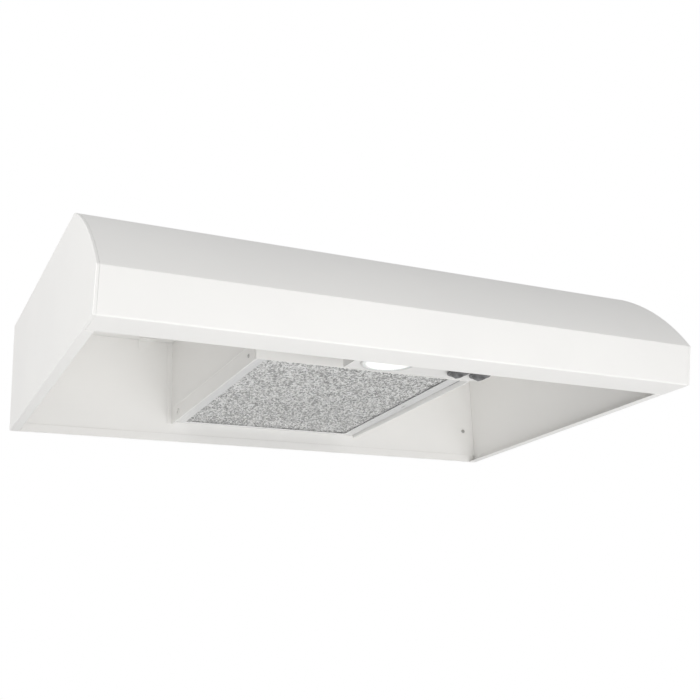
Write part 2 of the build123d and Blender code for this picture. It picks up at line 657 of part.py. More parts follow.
# ---------------------------------------------------------------- control panel, lamp and switches
def control_panel():
    """Panel behind the front lip that carries the lamp and the two switches."""
    x0, x1 = PANEL_X
    panel = block(x0, x1, PANEL_FRONT_Y, PANEL_BACK_Y, PANEL_Z, PANEL_Z + SHEET)
    panel += block(x0, x1, PANEL_FRONT_Y, PANEL_FRONT_Y + SHEET, 3, PANEL_Z + SHEET)
    panel += block(x0, x1, PANEL_BACK_Y - SHEET, PANEL_BACK_Y, PANEL_Z, PANEL_FLANGE_TOP_Z)
    for x in (x0, x1 - SHEET):
        panel += block(x, x + SHEET, PANEL_FRONT_Y, PANEL_BACK_Y, PANEL_Z, PANEL_Z + 12)
    panel -= rod_z(LENS_R - 3, LAMP_X, LAMP_Y, PANEL_Z - 1, PANEL_Z + 3)
    for x in KNOB_X:
        panel -= rod_z(SWITCH_BUSH_R + 0.1, x, KNOB_Y, PANEL_Z - 1, PANEL_Z + 3)
    return panel


def panel_straps():
    """Two straps from the panel's back flange to the plenum box."""
    straps = []
    for x in (-30, 60, 125):
        y0 = PANEL_BACK_Y + 0.05
        y1 = BOX_FRONT_Y - 0.05
        strap = block(x - 9, x + 9, y0, y1, STRAP_Z, STRAP_Z + 1.2)
        strap += block(x - 9, x + 9, y0, y0 + 1.2, STRAP_Z - 8, STRAP_Z)
        strap += block(x - 9, x + 9, y1 - 1.2, y1, STRAP_Z, STRAP_Z + 14)
        straps.append(strap)
    return straps


def lens_bezel():
    """Ring that holds the lens against the panel."""
    ring = rod_z(BEZEL_R, LAMP_X, LAMP_Y, PANEL_Z - 1.6, PANEL_Z - 0.02)
    ring = chamfer(ring.edges().group_by(Axis.Z)[0], 0.9)
    ring -= rod_z(LENS_R + 0.1, LAMP_X, LAMP_Y, 0, 40)
    return ring - rod_z(1.1, LAMP_X - BEZEL_R + 1.6, LAMP_Y, 0, 14.6)


def lamp_lens():
    """Shallow domed diffuser with a spigot that goes through the panel."""
    ball_r = 190.0
    foot = PANEL_Z - 3.4
    ball = Pos(LAMP_X, LAMP_Y, foot + ball_r) * Sphere(ball_r)
    dome = rod_z(LENS_R, LAMP_X, LAMP_Y, foot - 1, PANEL_Z - 0.02) & ball
    spigot = rod_z(LENS_R - 3.1, LAMP_X, LAMP_Y, PANEL_Z - 0.5, PANEL_Z + 4)
    return dome + spigot - rod_z(LENS_R - 4.6, LAMP_X, LAMP_Y, PANEL_Z - 0.6, PANEL_Z + 5)


def lamp_reflector():
    """Spun reflector bowl above the lens."""
    base = PANEL_Z + 4.1
    outer = Pos(LAMP_X, LAMP_Y, base + 14) * Cone(LENS_R - 1, 15, 28)
    outer += rod_z(LENS_R + 3, LAMP_X, LAMP_Y, base, base + 1)
    inner = Pos(LAMP_X, LAMP_Y, base + 14) * Cone(LENS_R - 2, 14, 28.1)
    return outer - inner - rod_z(LENS_R - 3, LAMP_X, LAMP_Y, base - 1, base + 0.6)


def lampholder():
    """Ceramic lampholder on top of the reflector."""
    base = PANEL_Z + 32.2
    holder = rod_z(16.5, LAMP_X, LAMP_Y, base, base + 3) + rod_z(12, LAMP_X, LAMP_Y, base, LAMPHOLDER_TOP_Z)
    return holder - rod_z(8.1, LAMP_X, LAMP_Y, base - 1, base + 14)


def lamp_bulb():
    """Small lamp with its base in the lampholder."""
    base = PANEL_Z + 32.2
    cap = rod_z(8.0, LAMP_X, LAMP_Y, base - 2, base + 13.5)
    neck = Pos(LAMP_X, LAMP_Y, base - 4) * Cone(7, 8, 4)
    return cap + neck + Pos(LAMP_X, LAMP_Y, base - 12) * Sphere(10.5)


def rotary_switch(x):
    """Rotary switch body with a threaded bush through the panel and two terminals."""
    base = PANEL_Z + SHEET + 0.05
    body = block(x - 13, x + 13, KNOB_Y - 13, KNOB_Y + 13, base, SWITCH_TOP_Z)
    body = fillet(body.edges().filter_by(Axis.Z), 3)
    body += rod_z(SWITCH_BUSH_R, x, KNOB_Y, PANEL_Z - 2.2, base)
    return body - rod_z(SWITCH_SHAFT_R + SHAFT_PLAY, x, KNOB_Y, 0, base + 10)


def switch_nut(x):
    """Thin nut that clamps the switch to the panel."""
    nut = extrude(RegularPolygon(8.2, 6), amount=1.5)
    nut -= Cylinder(SWITCH_BUSH_R + 0.02, 20)
    return Pos(x, KNOB_Y, PANEL_Z - 1.55) * nut


def switch_shaft(x):
    """Shaft from the switch body into the knob."""
    return rod_z(SWITCH_SHAFT_R, x, KNOB_Y, KNOB_SKIRT_Z - 5, PANEL_Z + 10)


def knob(x, turn):
    """Round skirt with a tapered bar grip below, bored for the switch shaft."""
    skirt = rod_z(KNOB_R, 0, 0, KNOB_SKIRT_Z, KNOB_TOP_Z)
    skirt = chamfer(skirt.edges().group_by(Axis.Z)[0], 1.2)
    boss = Pos(0, 0, KNOB_SKIRT_Z - 1) * Cone(9.5, 11.5, 2)
    grip = extrude(RectangleRounded(8.6, 26, 2.6), amount=KNOB_SKIRT_Z - KNOB_FOOT_Z, taper=7)
    grip = fillet(grip.edges().group_by(Axis.Z)[-1], 1.0)
    grip = Pos(0, 0, KNOB_SKIRT_Z + 0.01) * Rot(180, 0, 0) * grip
    body = skirt + boss + grip
    body -= rod_z(SWITCH_SHAFT_R + 0.02, 0, 0, KNOB_SKIRT_Z - 5, KNOB_TOP_Z + 1)
    body -= rod_z(9.6, 0, 0, PANEL_Z - 2.5, KNOB_TOP_Z + 1)
    pointer = block(-0.5, 0.5, 4, 11.8, KNOB_FOOT_Z - 1, KNOB_FOOT_Z + 0.4)
    return Pos(x, KNOB_Y, 0) * Rot(0, 0, -turn) * (body - pointer)


def back_screw():
    """Right screw that joins the back panel to the end panel's rear flange."""
    screw = Rot(-90, 0, 0) * pan_screw(2.0, head_r=3.0, head_h=1.8, shank_r=1.95)
    return Pos(HALF_W - 21, WALL_Y - 0.05, BACK_SCREW_Z) * screw


# ---------------------------------------------------------------- write every sub-part
def main():
    """Build all the sub-parts and write one file for each."""
    os.makedirs("parts", exist_ok=True)
    save("top_deck", top_deck())
    save("front_panel", front_panel())
    for name, build in (("end_panel", end_panel), ("partition", partition), ("filter_rail", filter_rail)):
        right, left = both_sides(build())
        save(f"right_{name}", right)
        save(f"left_{name}", left)
    save("back_panel", back_panel())
    save("back_screws", *both_sides(back_screw()))
    save("deck_cleats", *deck_cleats())
    save("plenum_front_wall", plenum_front_wall())
    save("harness_grommets", *harness_grommets())
    save("filter_frame", filter_frame())
    for name, bottom in MESH_LAYERS:
        save(f"filter_mesh_{name}", filter_layer(bottom, MESH_THICK))
    save("filter_pivot_pins", *both_sides(filter_pivot_pin()))
    save("filter_pivot_bushes", *both_sides(pivot_bush()))
    save("filter_catches", *both_sides(filter_catch()))
    save("catch_rivets", *both_sides(catch_rivet()))
    save("fan_blade", fan_blade())
    save("motor_shaft", motor_shaft())
    save("motor_rotor", motor_rotor())
    save("motor_stator", motor_stator())
    save("motor_can", motor_can())
    save("motor_end_cap", motor_end_cap())
    save("motor_bracket", motor_bracket())
    save("motor_screws", *motor_screws())
    save("bracket_screws", *bracket_screws())
    save("blade_nut", blade_nut())
    save("duct_collar", duct_collar())
    save("collar_screws", *collar_screws())
    save("damper_rod", damper_rod())
    save("damper_flap_rear", damper_flap_rear())
    save("damper_flap_front", damper_flap_front())
    save("wiring_box", wiring_box())
    save("wiring_cover", wiring_cover())
    save("wiring_screws", *wiring_screws())
    save("terminal_block", terminal_block())
    save("supply_lead", supply_lead())
    save("motor_lead", motor_lead())
    save("lamp_lead", lamp_lead())
    save("harness_clips", *harness_clips())
    save("control_panel", control_panel())
    save("panel_straps", *panel_straps())
    save("lens_bezel", lens_bezel())
    save("lamp_lens", lamp_lens())
    save("lamp_reflector", lamp_reflector())
    save("lampholder", lampholder())
    save("lamp_bulb", lamp_bulb())
    for name, x, turn in (("fan", KNOB_X[0], KNOB_TURN[0]), ("light", KNOB_X[1], KNOB_TURN[1])):
        save(f"{name}_switch", rotary_switch(x))
        save(f"{name}_switch_shaft", switch_shaft(x))
        save(f"{name}_knob", knob(x, turn))
    save("switch_nuts", *[switch_nut(x) for x in KNOB_X])


main()
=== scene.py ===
"""Looks of an under cabinet range hood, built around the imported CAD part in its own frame.

Each sub-assembly is a class whose fields hold its sizes in millimetres. Its methods build the meshes, dress
them in a finish and set them riding on a body of the part. Lengths become metres when a piece is placed.
"""

import logging
import math
from collections.abc import Callable, Iterable, Mapping, Sequence
from dataclasses import dataclass, field
from enum import Enum
from typing import ClassVar

import bmesh
import bpy
from mathutils import Matrix, Vector


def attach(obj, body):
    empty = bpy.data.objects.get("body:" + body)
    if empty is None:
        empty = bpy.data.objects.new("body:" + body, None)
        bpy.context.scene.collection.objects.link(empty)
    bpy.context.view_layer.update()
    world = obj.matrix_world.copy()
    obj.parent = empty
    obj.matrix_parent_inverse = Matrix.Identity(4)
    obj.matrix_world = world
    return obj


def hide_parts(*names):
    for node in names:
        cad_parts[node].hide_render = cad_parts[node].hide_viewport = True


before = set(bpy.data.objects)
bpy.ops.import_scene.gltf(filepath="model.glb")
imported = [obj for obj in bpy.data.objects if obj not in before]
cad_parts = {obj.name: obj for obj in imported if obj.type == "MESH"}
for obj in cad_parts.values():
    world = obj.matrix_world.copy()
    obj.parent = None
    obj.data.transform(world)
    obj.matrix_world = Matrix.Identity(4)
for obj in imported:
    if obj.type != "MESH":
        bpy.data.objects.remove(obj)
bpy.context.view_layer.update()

LOG = logging.getLogger("range_hood")
MM = 0.001

Point2 = tuple[float, float]
Point3 = tuple[float, float, float]
Colour = tuple[float, float, float]
Loop = Sequence[Sequence[float]]

ORIGIN: Point3 = (0.0, 0.0, 0.0)
FAN_Y = 81.5
FILTER_PIVOT: Point2 = (217.5, 37.0)
LAMP_CENTRE: Point3 = (-9.0, -161.0, 0.0)


# ---------------------------------------------------------------- outlines
class Axis(Enum):
    """Direction that an outline is run or turned along, with the two directions it is drawn in."""

    X = (1, 2, 0)
    Y = (0, 2, 1)
    Z = (0, 1, 2)

    def place(self, a: float, b: float, along: float) -> Vector:
        """Point with the outline's coordinates a and b at a distance along the axis.

        Args:
            a: The outline's first coordinate in millimetres.
            b: The outline's second coordinate.
            along: The distance along the axis.

        Returns:
            The point in the hood's axes.
        """
        point = Vector((0.0, 0.0, 0.0))
        for index, value in zip(self.value, (a, b, along)):
            point[index] = value
        return point


def rounded(points: Sequence[Point2], radii: float | Sequence[float], steps: int = 4,
            closed: bool = True) -> list[Point2]:
    """Round the corners of a polygon or path.

    Args:
        points: The corners in order.
        radii: One radius for all corners, or one for each.
        steps: Segments in each arc.
        closed: Whether the last corner joins the first.

    Returns:
        The points with each rounded corner replaced by an arc.
    """
    count = len(points)
    sizes = [radii] * count if isinstance(radii, (int, float)) else list(radii)
    made: list[Point2] = []
    for index, (corner, radius) in enumerate(zip(points, sizes)):
        if radius <= 0 or (not closed and index in (0, count - 1)):
            made.append(tuple(corner))
            continue
        here = Vector(corner)
        before = Vector(points[index - 1]) - here
        after = Vector(points[(index + 1) % count]) - here
        half = before.angle(after) / 2
        if half > math.radians(89.5):
            made.append(tuple(corner))
            continue
        reach = min(radius / math.tan(half), 0.49 * before.length, 0.49 * after.length)
        bend = reach * math.tan(half)
        middle = here + (before.normalized() + after.normalized()).normalized() * (bend / math.sin(half))
        start = here + before.normalized() * reach - middle
        end = here + after.normalized() * reach - middle
        sweep = math.atan2(start.x * end.y - start.y * end.x, start.dot(end))
        for step in range(steps + 1):
            turn = sweep * step / steps
            spoke = Matrix.Rotation(turn, 2) @ start
            made.append((middle.x + spoke.x, middle.y + spoke.y))
    return made


def inset(points: Sequence[Point2], distance: float, closed: bool = True) -> list[Point2]:
    """Move a polygon or path to the left of its direction of travel, with mitred corners.

    Args:
        points: The corners in order.
        distance: How far the line moves, negative to the right.
        closed: Whether the last corner joins the first.

    Returns:
        The moved corners, as many as before.
    """
    count = len(points)
    made: list[Point2] = []
    for index in range(count):
        here = Vector(points[index])
        last = Vector(points[index - 1]) if closed or index else None
        following = Vector(points[(index + 1) % count]) if closed or index < count - 1 else None
        sides = [d.normalized() for d in (here - last if last else None, following - here if following else None) if d]
        normals = [Vector((-side.y, side.x)) for side in sides]
        mean = sum(normals, Vector((0.0, 0.0))).normalized()
        shift = distance / max(mean.dot(normals[0]), 0.2)
        made.append((here.x + mean.x * shift, here.y + mean.y * shift))
    return made


def sheet_outline(path: Sequence[Point2], gauge: float) -> list[Point2]:
    """Outline of a bent sheet whose one face is the path and whose other lies a gauge to its left."""
    return [*path, *reversed(inset(path, gauge, closed=False))]


def rectangle(a0: float, a1: float, b0: float, b1: float) -> list[Point2]:
    """Corners of a rectangle, anticlockwise."""
    return [(a0, b0), (a1, b0), (a1, b1), (a0, b1)]


def arc(radius: float, start: float, end: float, steps: int) -> list[Point2]:
    """Points on an arc about the origin between two angles in degrees."""
    angles = [math.radians(start + (end - start) * step / steps) for step in range(steps + 1)]
    return [(radius * math.cos(angle), radius * math.sin(angle)) for angle in angles]


# ---------------------------------------------------------------- meshes
class Shape:
    """A closed mesh in the making, in millimetres in the hood's own frame."""

    def __init__(self) -> None:
        """Start with no faces."""
        self.bm = bmesh.new()

    @classmethod
    def loft(cls, loops: Sequence[Loop], ring: bool = False) -> "Shape":
        """Skin a stack of loops that have the same number of points.

        Args:
            loops: The closed loops in order.
            ring: Join the last loop to the first instead of capping both ends.

        Returns:
            The closed shape.
        """
        shape = cls()
        rows = [[shape.bm.verts.new(point) for point in loop] for loop in loops]
        count = len(rows[0])
        for low, high in zip(rows, rows[1:] + (rows[:1] if ring else [])):
            for index in range(count):
                after = (index + 1) % count
                shape.bm.faces.new((low[index], low[after], high[after], high[index]))
        if not ring:
            shape.bm.faces.new(rows[0][::-1])
            shape.bm.faces.new(rows[-1])
        return shape.tidied()

    @classmethod
    def prism(cls, outline: Sequence[Point2], low: float, high: float, axis: Axis) -> "Shape":
        """Run an outline along an axis between two places."""
        return cls.loft([[axis.place(a, b, along) for a, b in outline] for along in (low, high)])

    @classmethod
    def box(cls, x: Point2, y: Point2, z: Point2) -> "Shape":
        """A block between its lowest and highest x, y and z."""
        return cls.prism(rectangle(*x, *y), *z, Axis.Z)

    @classmethod
    def turned(cls, profile: Sequence[Point2], centre: Point3, axis: Axis = Axis.Z, steps: int = 64) -> "Shape":
        """Turn a closed profile of (radius, height) points about an axis through a centre.

        Args:
            profile: Radius and height of each point.
            centre: A point on the axis, from which heights count.
            axis: The direction of the axis.
            steps: Segments round the axis.

        Returns:
            The closed shape.
        """
        a, b, along = (centre[index] for index in axis.value)
        loops = []
        for step in range(steps):
            turn = math.tau * step / steps
            loops.append([axis.place(a + r * math.cos(turn), b + r * math.sin(turn), along + h) for r, h in profile])
        return cls.loft(loops, ring=True)

    @classmethod
    def lathed(cls, corners: Sequence[Point3], centre: Point3, axis: Axis = Axis.Z, steps: int = 64,
               arcs: int = 3) -> "Shape":
        """Turn a profile whose corners are rounded.

        Args:
            corners: The radius, the height and the rounding of each corner.
            centre: A point on the axis, from which heights count.
            axis: The direction of the axis.
            steps: Segments round the axis.
            arcs: Segments in each rounded corner.

        Returns:
            The closed shape.
        """
        profile = rounded([corner[:2] for corner in corners], [corner[2] for corner in corners], arcs)
        return cls.turned(profile, centre, axis, steps)

    @classmethod
    def rod(cls, radius: float, centre: Point3, low: float, high: float, axis: Axis = Axis.Z,
            edge: float = 0.0, steps: int = 48) -> "Shape":
        """A cylinder from low to high along its axis, measured from the centre, with rounded rims."""
        corners = [(0, low, 0), (radius, low, edge), (radius, high, edge), (0, high, 0)]
        return cls.lathed(corners, centre, axis, steps)

    @classmethod
    def of_node(cls, node: str) -> "Shape":
        """A merged copy of a CAD node's mesh, with its flat faces made whole.

        Args:
            node: Name of the CAD node.

        Returns:
            The copy, free of doubled points.
        """
        shape = cls()
        shape.bm.from_mesh(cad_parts[node].data)
        shape.bm.transform(Matrix.Scale(1 / MM, 4))
        bmesh.ops.remove_doubles(shape.bm, verts=shape.bm.verts, dist=0.004)
        bmesh.ops.dissolve_limit(shape.bm, angle_limit=math.radians(0.8), verts=shape.bm.verts,
                                 edges=shape.bm.edges)
        return shape

    def tidied(self) -> "Shape":
        """Merge doubled points and turn every face outwards.

        Returns:
            This shape, for chaining.
        """
        bmesh.ops.remove_doubles(self.bm, verts=self.bm.verts, dist=0.0005)
        bmesh.ops.dissolve_degenerate(self.bm, edges=self.bm.edges, dist=0.0004)
        bmesh.ops.recalc_face_normals(self.bm, faces=self.bm.faces)
        return self

    def joined(self, *others: "Shape") -> "Shape":
        """Take in the faces of other shapes as separate shells."""
        for other in others:
            mesh = other.as_mesh("joined")
            self.bm.from_mesh(mesh)
            bpy.data.meshes.remove(mesh)
        return self

    def moved(self, matrix: Matrix) -> "Shape":
        """Apply a matrix to every point."""
        self.bm.transform(matrix)
        return self

    def copied(self) -> "Shape":
        """A second shape with the same faces."""
        return Shape().joined(self)

    def mirrored(self) -> "Shape":
        """A copy on the other side of the hood's middle, with its faces outwards.

        Returns:
            The mirrored copy.
        """
        other = self.copied().moved(Matrix.Scale(-1, 4, (1, 0, 0)))
        bmesh.ops.reverse_faces(other.bm, faces=other.bm.faces)
        return other

    def as_mesh(self, name: str) -> bpy.types.Mesh:
        """The faces as a new Blender mesh.

        Args:
            name: Name of the mesh.

        Returns:
            The mesh, in the shape's own unit.
        """
        mesh = bpy.data.meshes.new(name)
        self.bm.to_mesh(mesh)
        return mesh

    def through(self, kind: str, settings: Mapping[str, object]) -> "Shape":
        """Pass the faces through one modifier.

        Args:
            kind: The modifier's type.
            settings: The modifier's properties by name.

        Returns:
            This shape, changed.
        """
        holder = bpy.data.objects.new("in_work", self.as_mesh("in_work"))
        bpy.context.scene.collection.objects.link(holder)
        modifier = holder.modifiers.new("step", kind)
        for key, value in settings.items():
            setattr(modifier, key, value)
        made = plain_mesh(holder)
        self.bm.free()
        self.bm = bmesh.new()
        self.bm.from_mesh(made)
        bpy.data.meshes.remove(made)
        bpy.data.objects.remove(holder)
        return self

    def cut(self, *tools: "Shape") -> "Shape":
        """Take the tools' space away from this shape.

        Args:
            tools: The shapes whose space is taken away.

        Returns:
            This shape, for chaining.
        """
        tool = bpy.data.objects.new("tool", Shape().joined(*tools).as_mesh("tool"))
        bpy.context.scene.collection.objects.link(tool)
        self.through("BOOLEAN", {"operation": "DIFFERENCE", "solver": "EXACT", "object": tool})
        bpy.data.objects.remove(tool)
        bmesh.ops.dissolve_degenerate(self.bm, edges=self.bm.edges, dist=0.001)
        return self

    def eased(self, width: float = 0.25, steps: int = 2, angle: float = 38.0) -> "Shape":
        """Round every edge sharper than an angle in degrees."""
        return self.through("BEVEL", {"width": width, "segments": steps, "limit_method": "ANGLE",
                                      "angle_limit": math.radians(angle), "use_clamp_overlap": True})


def plain_mesh(holder: bpy.types.Object) -> bpy.types.Mesh:
    """The evaluated object as a mesh of its own."""
    graph = bpy.context.evaluated_depsgraph_get()
    return bpy.data.meshes.new_from_object(holder.evaluated_get(graph), preserve_all_data_layers=True,
                                           depsgraph=graph)


# ---------------------------------------------------------------- node trees
def maths_method(operation: str, reflected: bool = False) -> Callable[["Sock", "Sock | float"], "Sock"]:
    """Make the method of one operator.

    Args:
        operation: The Math node's operation.
        reflected: Whether the socket comes second, as in 1 - mask.

    Returns:
        A method that adds the Math node on a socket and another value.
    """
    def method(self: "Sock", other: "Sock | float") -> "Sock":
        """Add the Math node on this and the other value."""
        return self.maths(operation, *((other, self) if reflected else (self, other)))

    return method


class Sock:
    """One output of a node, with the operators that add Math nodes."""

    def __init__(self, tree: "Tree", socket: bpy.types.NodeSocket) -> None:
        """Remember the socket and the tree it belongs to."""
        self.tree = tree
        self.socket = socket

    def maths(self, operation: str, *values: "Sock | float") -> "Sock":
        """Add one Math node on one or two values."""
        return self.tree.sock("ShaderNodeMath", {"operation": operation}, dict(enumerate(values)))

    __add__, __radd__ = maths_method("ADD"), maths_method("ADD", True)
    __sub__, __rsub__ = maths_method("SUBTRACT"), maths_method("SUBTRACT", True)
    __mul__, __rmul__ = maths_method("MULTIPLY"), maths_method("MULTIPLY", True)
    __truediv__, __rtruediv__ = maths_method("DIVIDE"), maths_method("DIVIDE", True)
    __mod__, __rmod__ = maths_method("FLOORED_MODULO"), maths_method("FLOORED_MODULO", True)

    def sine(self) -> "Sock":
        """The sine of this."""
        return self.maths("SINE", self)

    def ramp(self, low: float, high: float) -> "Sock":
        """Smooth step from 0 at low to 1 at high."""
        return self.tree.sock("ShaderNodeMapRange", {"interpolation_type": "SMOOTHSTEP"},
                              {"Value": self, "From Min": low, "From Max": high})


class Tree:
    """A node tree with one method that adds any node, and short names for the nodes used most."""

    def __init__(self, nodes: bpy.types.NodeTree) -> None:
        """Clear the tree that the nodes go into."""
        self.target = nodes
        nodes.nodes.clear()

    def node(self, kind: str, settings: Mapping[str, object] | None = None,
             values: Mapping[str | int, object] | None = None) -> bpy.types.Node:
        """Add one node.

        Args:
            kind: The node's type.
            settings: Its properties, set first; stops are a colour ramp's (place, colour) pairs.
            values: What goes into its sockets, a value or a link, by the socket's name or number.

        Returns:
            The node.
        """
        node = self.target.nodes.new(kind)
        for key, value in (settings or {}).items():
            if key == "stops":
                for index, (place, colour) in enumerate(value):
                    stop = node.color_ramp.elements[index] if index < 2 else node.color_ramp.elements.new(place)
                    stop.position = place
                    stop.color = (*colour, 1.0)
            else:
                setattr(node, key, value)
        for key, value in (values or {}).items():
            if isinstance(value, Sock):
                self.target.links.new(value.socket, node.inputs[key])
            else:
                node.inputs[key].default_value = value
        return node

    def sock(self, kind: str, settings: Mapping[str, object] | None = None,
             values: Mapping[str | int, object] | None = None, output: int | str = 0) -> Sock:
        """Add one node and give one of its outputs."""
        return Sock(self, self.node(kind, settings, values).outputs[output])

    def place(self, stretch: Point3 = (1.0, 1.0, 1.0), centre: Point3 = ORIGIN) -> Sock:
        """The piece's own coordinates in metres, centred on a point given in millimetres and stretched.

        Args:
            stretch: Factors along the three axes.
            centre: The point in millimetres that becomes the origin.

        Returns:
            The coordinates as a vector.
        """
        coordinates = self.sock("ShaderNodeTexCoord", output="Object")
        shift = tuple(-MM * value * scale for value, scale in zip(centre, stretch))
        return self.sock("ShaderNodeMapping", {}, {"Vector": coordinates, "Location": shift, "Scale": stretch})

    def noise(self, size: float, detail: float = 2.0, place: Sock | None = None, rough: float = 0.5) -> Sock:
        """Noise whose features are about a size in millimetres."""
        return self.sock("ShaderNodeTexNoise", {},
                         {"Vector": place or self.place(), "Scale": 1 / (size * MM), "Detail": detail,
                          "Roughness": rough})

    def cells(self, size: float, place: Sock | None = None) -> Sock:
        """A random value for each cell about a size in millimetres."""
        colour = self.sock("ShaderNodeTexVoronoi", {}, {"Vector": place or self.place(), "Scale": 1 / (size * MM)},
                           "Color")
        return self.sock("ShaderNodeSeparateColor", {}, {0: colour})

    def axis(self, axis: Axis) -> Sock:
        """One of the piece's own coordinates, in metres."""
        return self.sock("ShaderNodeSeparateXYZ", {}, {0: self.place()}, "XYZ".index(axis.name))

    def blend(self, share: Sock, first: Colour, second: Colour) -> Sock:
        """Mix two colours by a share."""
        return self.sock("ShaderNodeMix", {"data_type": "RGBA"},
                         {0: share, 6: (*first, 1.0), 7: (*second, 1.0)}, 2)

    def vector(self, x: Sock | float, y: Sock | float, z: Sock | float) -> Sock:
        """Three values as a vector."""
        return self.sock("ShaderNodeCombineXYZ", {}, {0: x, 1: y, 2: z})

    def relief(self, height: Sock, depth: float, under: Sock | None = None) -> Sock:
        """Bump whose full height is a depth in millimetres.

        Args:
            height: Values from 0 to 1.
            depth: Millimetres from the lowest to the highest value.
            under: The normal of a relief below this one.

        Returns:
            The bumped normal.
        """
        values = {"Strength": 1.0, "Distance": depth * MM, "Height": height}
        if under:
            values["Normal"] = under
        return self.sock("ShaderNodeBump", {}, values)

    def surface(self, **values: object) -> None:
        """Close a material with a Principled shader; an underscore in a name stands for a space."""
        named = {key.replace("_", " "): (*value, 1.0) if isinstance(value, tuple) else value
                 for key, value in values.items()}
        shader = self.sock("ShaderNodeBsdfPrincipled", {}, named)
        self.node("ShaderNodeOutputMaterial", {}, {"Surface": shader})


# ---------------------------------------------------------------- finishes
@dataclass(frozen=True)
class Finish:
    """One surface finish. The slot is the record's own name for it."""

    slot: str
    colour: Colour
    second: Colour
    roughness: float

    made: ClassVar[dict["Finish", bpy.types.Material]] = {}

    def material(self) -> bpy.types.Material:
        """The finish as a material, made once."""
        if self not in self.made:
            material = bpy.data.materials.new(self.slot)
            material.use_nodes = True
            self.dress(Tree(material.node_tree))
            self.made[self] = material
        return self.made[self]

    def dress(self, tree: Tree) -> None:
        """Fill the material's tree."""
        raise NotImplementedError


@dataclass(frozen=True)
class PowderCoat(Finish):
    """Satin powder coat: a shallow orange peel, cloudy gloss and a trace of colour drift."""

    peel: float = 1.7
    depth: float = 0.012

    def dress(self, tree: Tree) -> None:
        """Orange peel over broad, faint drifts of colour and gloss.

        Args:
            tree: The tree of the finish's material.
        """
        drift = tree.noise(130.0, 3.0)
        fine = tree.noise(self.peel, 1.5)
        speck = tree.noise(0.35, 1.0)
        tree.surface(Base_Color=tree.blend(drift.ramp(0.35, 0.65), self.colour, self.second),
                     Roughness=self.roughness - 0.05 + 0.1 * tree.noise(9.0, 3.0),
                     Specular_IOR_Level=0.42, Coat_Weight=0.06, Coat_Roughness=0.22,
                     Normal=tree.relief(fine + 0.12 * speck, self.depth))


@dataclass(frozen=True)
class BrushedMetal(Finish):
    """Rolled or brushed metal with fine streaks along one direction."""

    along: Axis = Axis.Y
    metallic: float = 1.0
    streak: float = 0.6

    def dress(self, tree: Tree) -> None:
        """Long thin streaks in colour, gloss and relief.

        Args:
            tree: The tree of the finish's material.
        """
        stretch = [1.0, 1.0, 1.0]
        stretch[self.along.value[2]] = 0.03
        streaks = tree.noise(self.streak, 3.0, tree.place(tuple(stretch)))
        smudge = tree.noise(22.0, 3.0)
        tree.surface(Base_Color=tree.blend(streaks.ramp(0.3, 0.7), self.colour, self.second),
                     Metallic=self.metallic,
                     Roughness=self.roughness - 0.06 + 0.08 * streaks + 0.09 * smudge,
                     Normal=tree.relief(streaks, 0.004))


@dataclass(frozen=True)
class FoilMesh(Finish):
    """Expanded aluminium foil: strands with painted glints, a random brightness in their colour that stands for strands
    catching the light.
    """

    facet: float = 2.7
    metallic: float = 0.2

    def dress(self, tree: Tree) -> None:
        """Painted glints from strand to strand over a faint film of dust.

        Args:
            tree: The tree of the finish's material.
        """
        # Random cells of near-white in the base colour are painted glints, not the foil's own colour.
        painted_glints = tree.cells(self.facet).ramp(0.12, 0.8)
        film = tree.noise(40.0, 4.0)
        tree.surface(Base_Color=tree.blend(painted_glints, self.colour, self.second), Metallic=self.metallic,
                     Roughness=self.roughness + 0.14 * film,
                     Normal=tree.relief(tree.noise(0.9, 2.0), 0.06))


@dataclass(frozen=True)
class Galvanised(Finish):
    """Hot-dip zinc with its spangle."""

    spangle: float = 7.0

    def dress(self, tree: Tree) -> None:
        """Flat crystals of differing brightness, softened by a dull bloom.

        Args:
            tree: The tree of the finish's material.
        """
        crystals = tree.cells(self.spangle)
        bloom = tree.noise(30.0, 4.0)
        grain = tree.noise(0.5, 2.0)
        tree.surface(Base_Color=tree.blend(crystals * 0.7 + bloom * 0.3, self.colour, self.second), Metallic=0.9,
                     Roughness=self.roughness + 0.16 * crystals, Normal=tree.relief(grain + crystals, 0.006))


@dataclass(frozen=True)
class PlatedSteel(Finish):
    """Small plated or tempered steel parts with drawn marks."""

    metallic: float = 1.0

    def dress(self, tree: Tree) -> None:
        """Cloudy plating with tiny pits.

        Args:
            tree: The tree of the finish's material.
        """
        cloud = tree.noise(3.0, 3.0)
        pits = tree.noise(0.25, 2.0)
        tree.surface(Base_Color=tree.blend(cloud.ramp(0.35, 0.7), self.colour, self.second),
                     Metallic=self.metallic, Roughness=self.roughness + 0.12 * cloud,
                     Normal=tree.relief(pits, 0.005))


@dataclass(frozen=True)
class Laminations(Finish):
    """A stack of punched steel laminations."""

    gauge: float = 0.5

    def dress(self, tree: Tree) -> None:
        """Thin dark joints at each lamination's edge.

        Args:
            tree: The tree of the finish's material.
        """
        level = (tree.axis(Axis.Z) / (self.gauge * MM)) % 1.0
        joint = level.ramp(0.0, 0.2) * (1.0 - level.ramp(0.8, 1.0))
        tree.surface(Base_Color=tree.blend(joint, self.second, self.colour), Metallic=0.8,
                     Roughness=self.roughness + 0.1 * tree.noise(2.0), Normal=tree.relief(joint, 0.05))


@dataclass(frozen=True)
class Moulding(Finish):
    """Moulded plastic or rubber with a fine spark-eroded grain."""

    grain: float = 0.3
    depth: float = 0.012
    coat: float = 0.0

    def dress(self, tree: Tree) -> None:
        """Even grain with slight handling polish.

        Args:
            tree: The tree of the finish's material.
        """
        grain = tree.noise(self.grain, 2.0)
        polish = tree.noise(14.0, 3.0)
        tree.surface(Base_Color=tree.blend(polish.ramp(0.3, 0.7), self.colour, self.second),
                     Roughness=self.roughness - 0.04 + 0.12 * polish, Coat_Weight=self.coat,
                     Coat_Roughness=0.2, Normal=tree.relief(grain, self.depth))


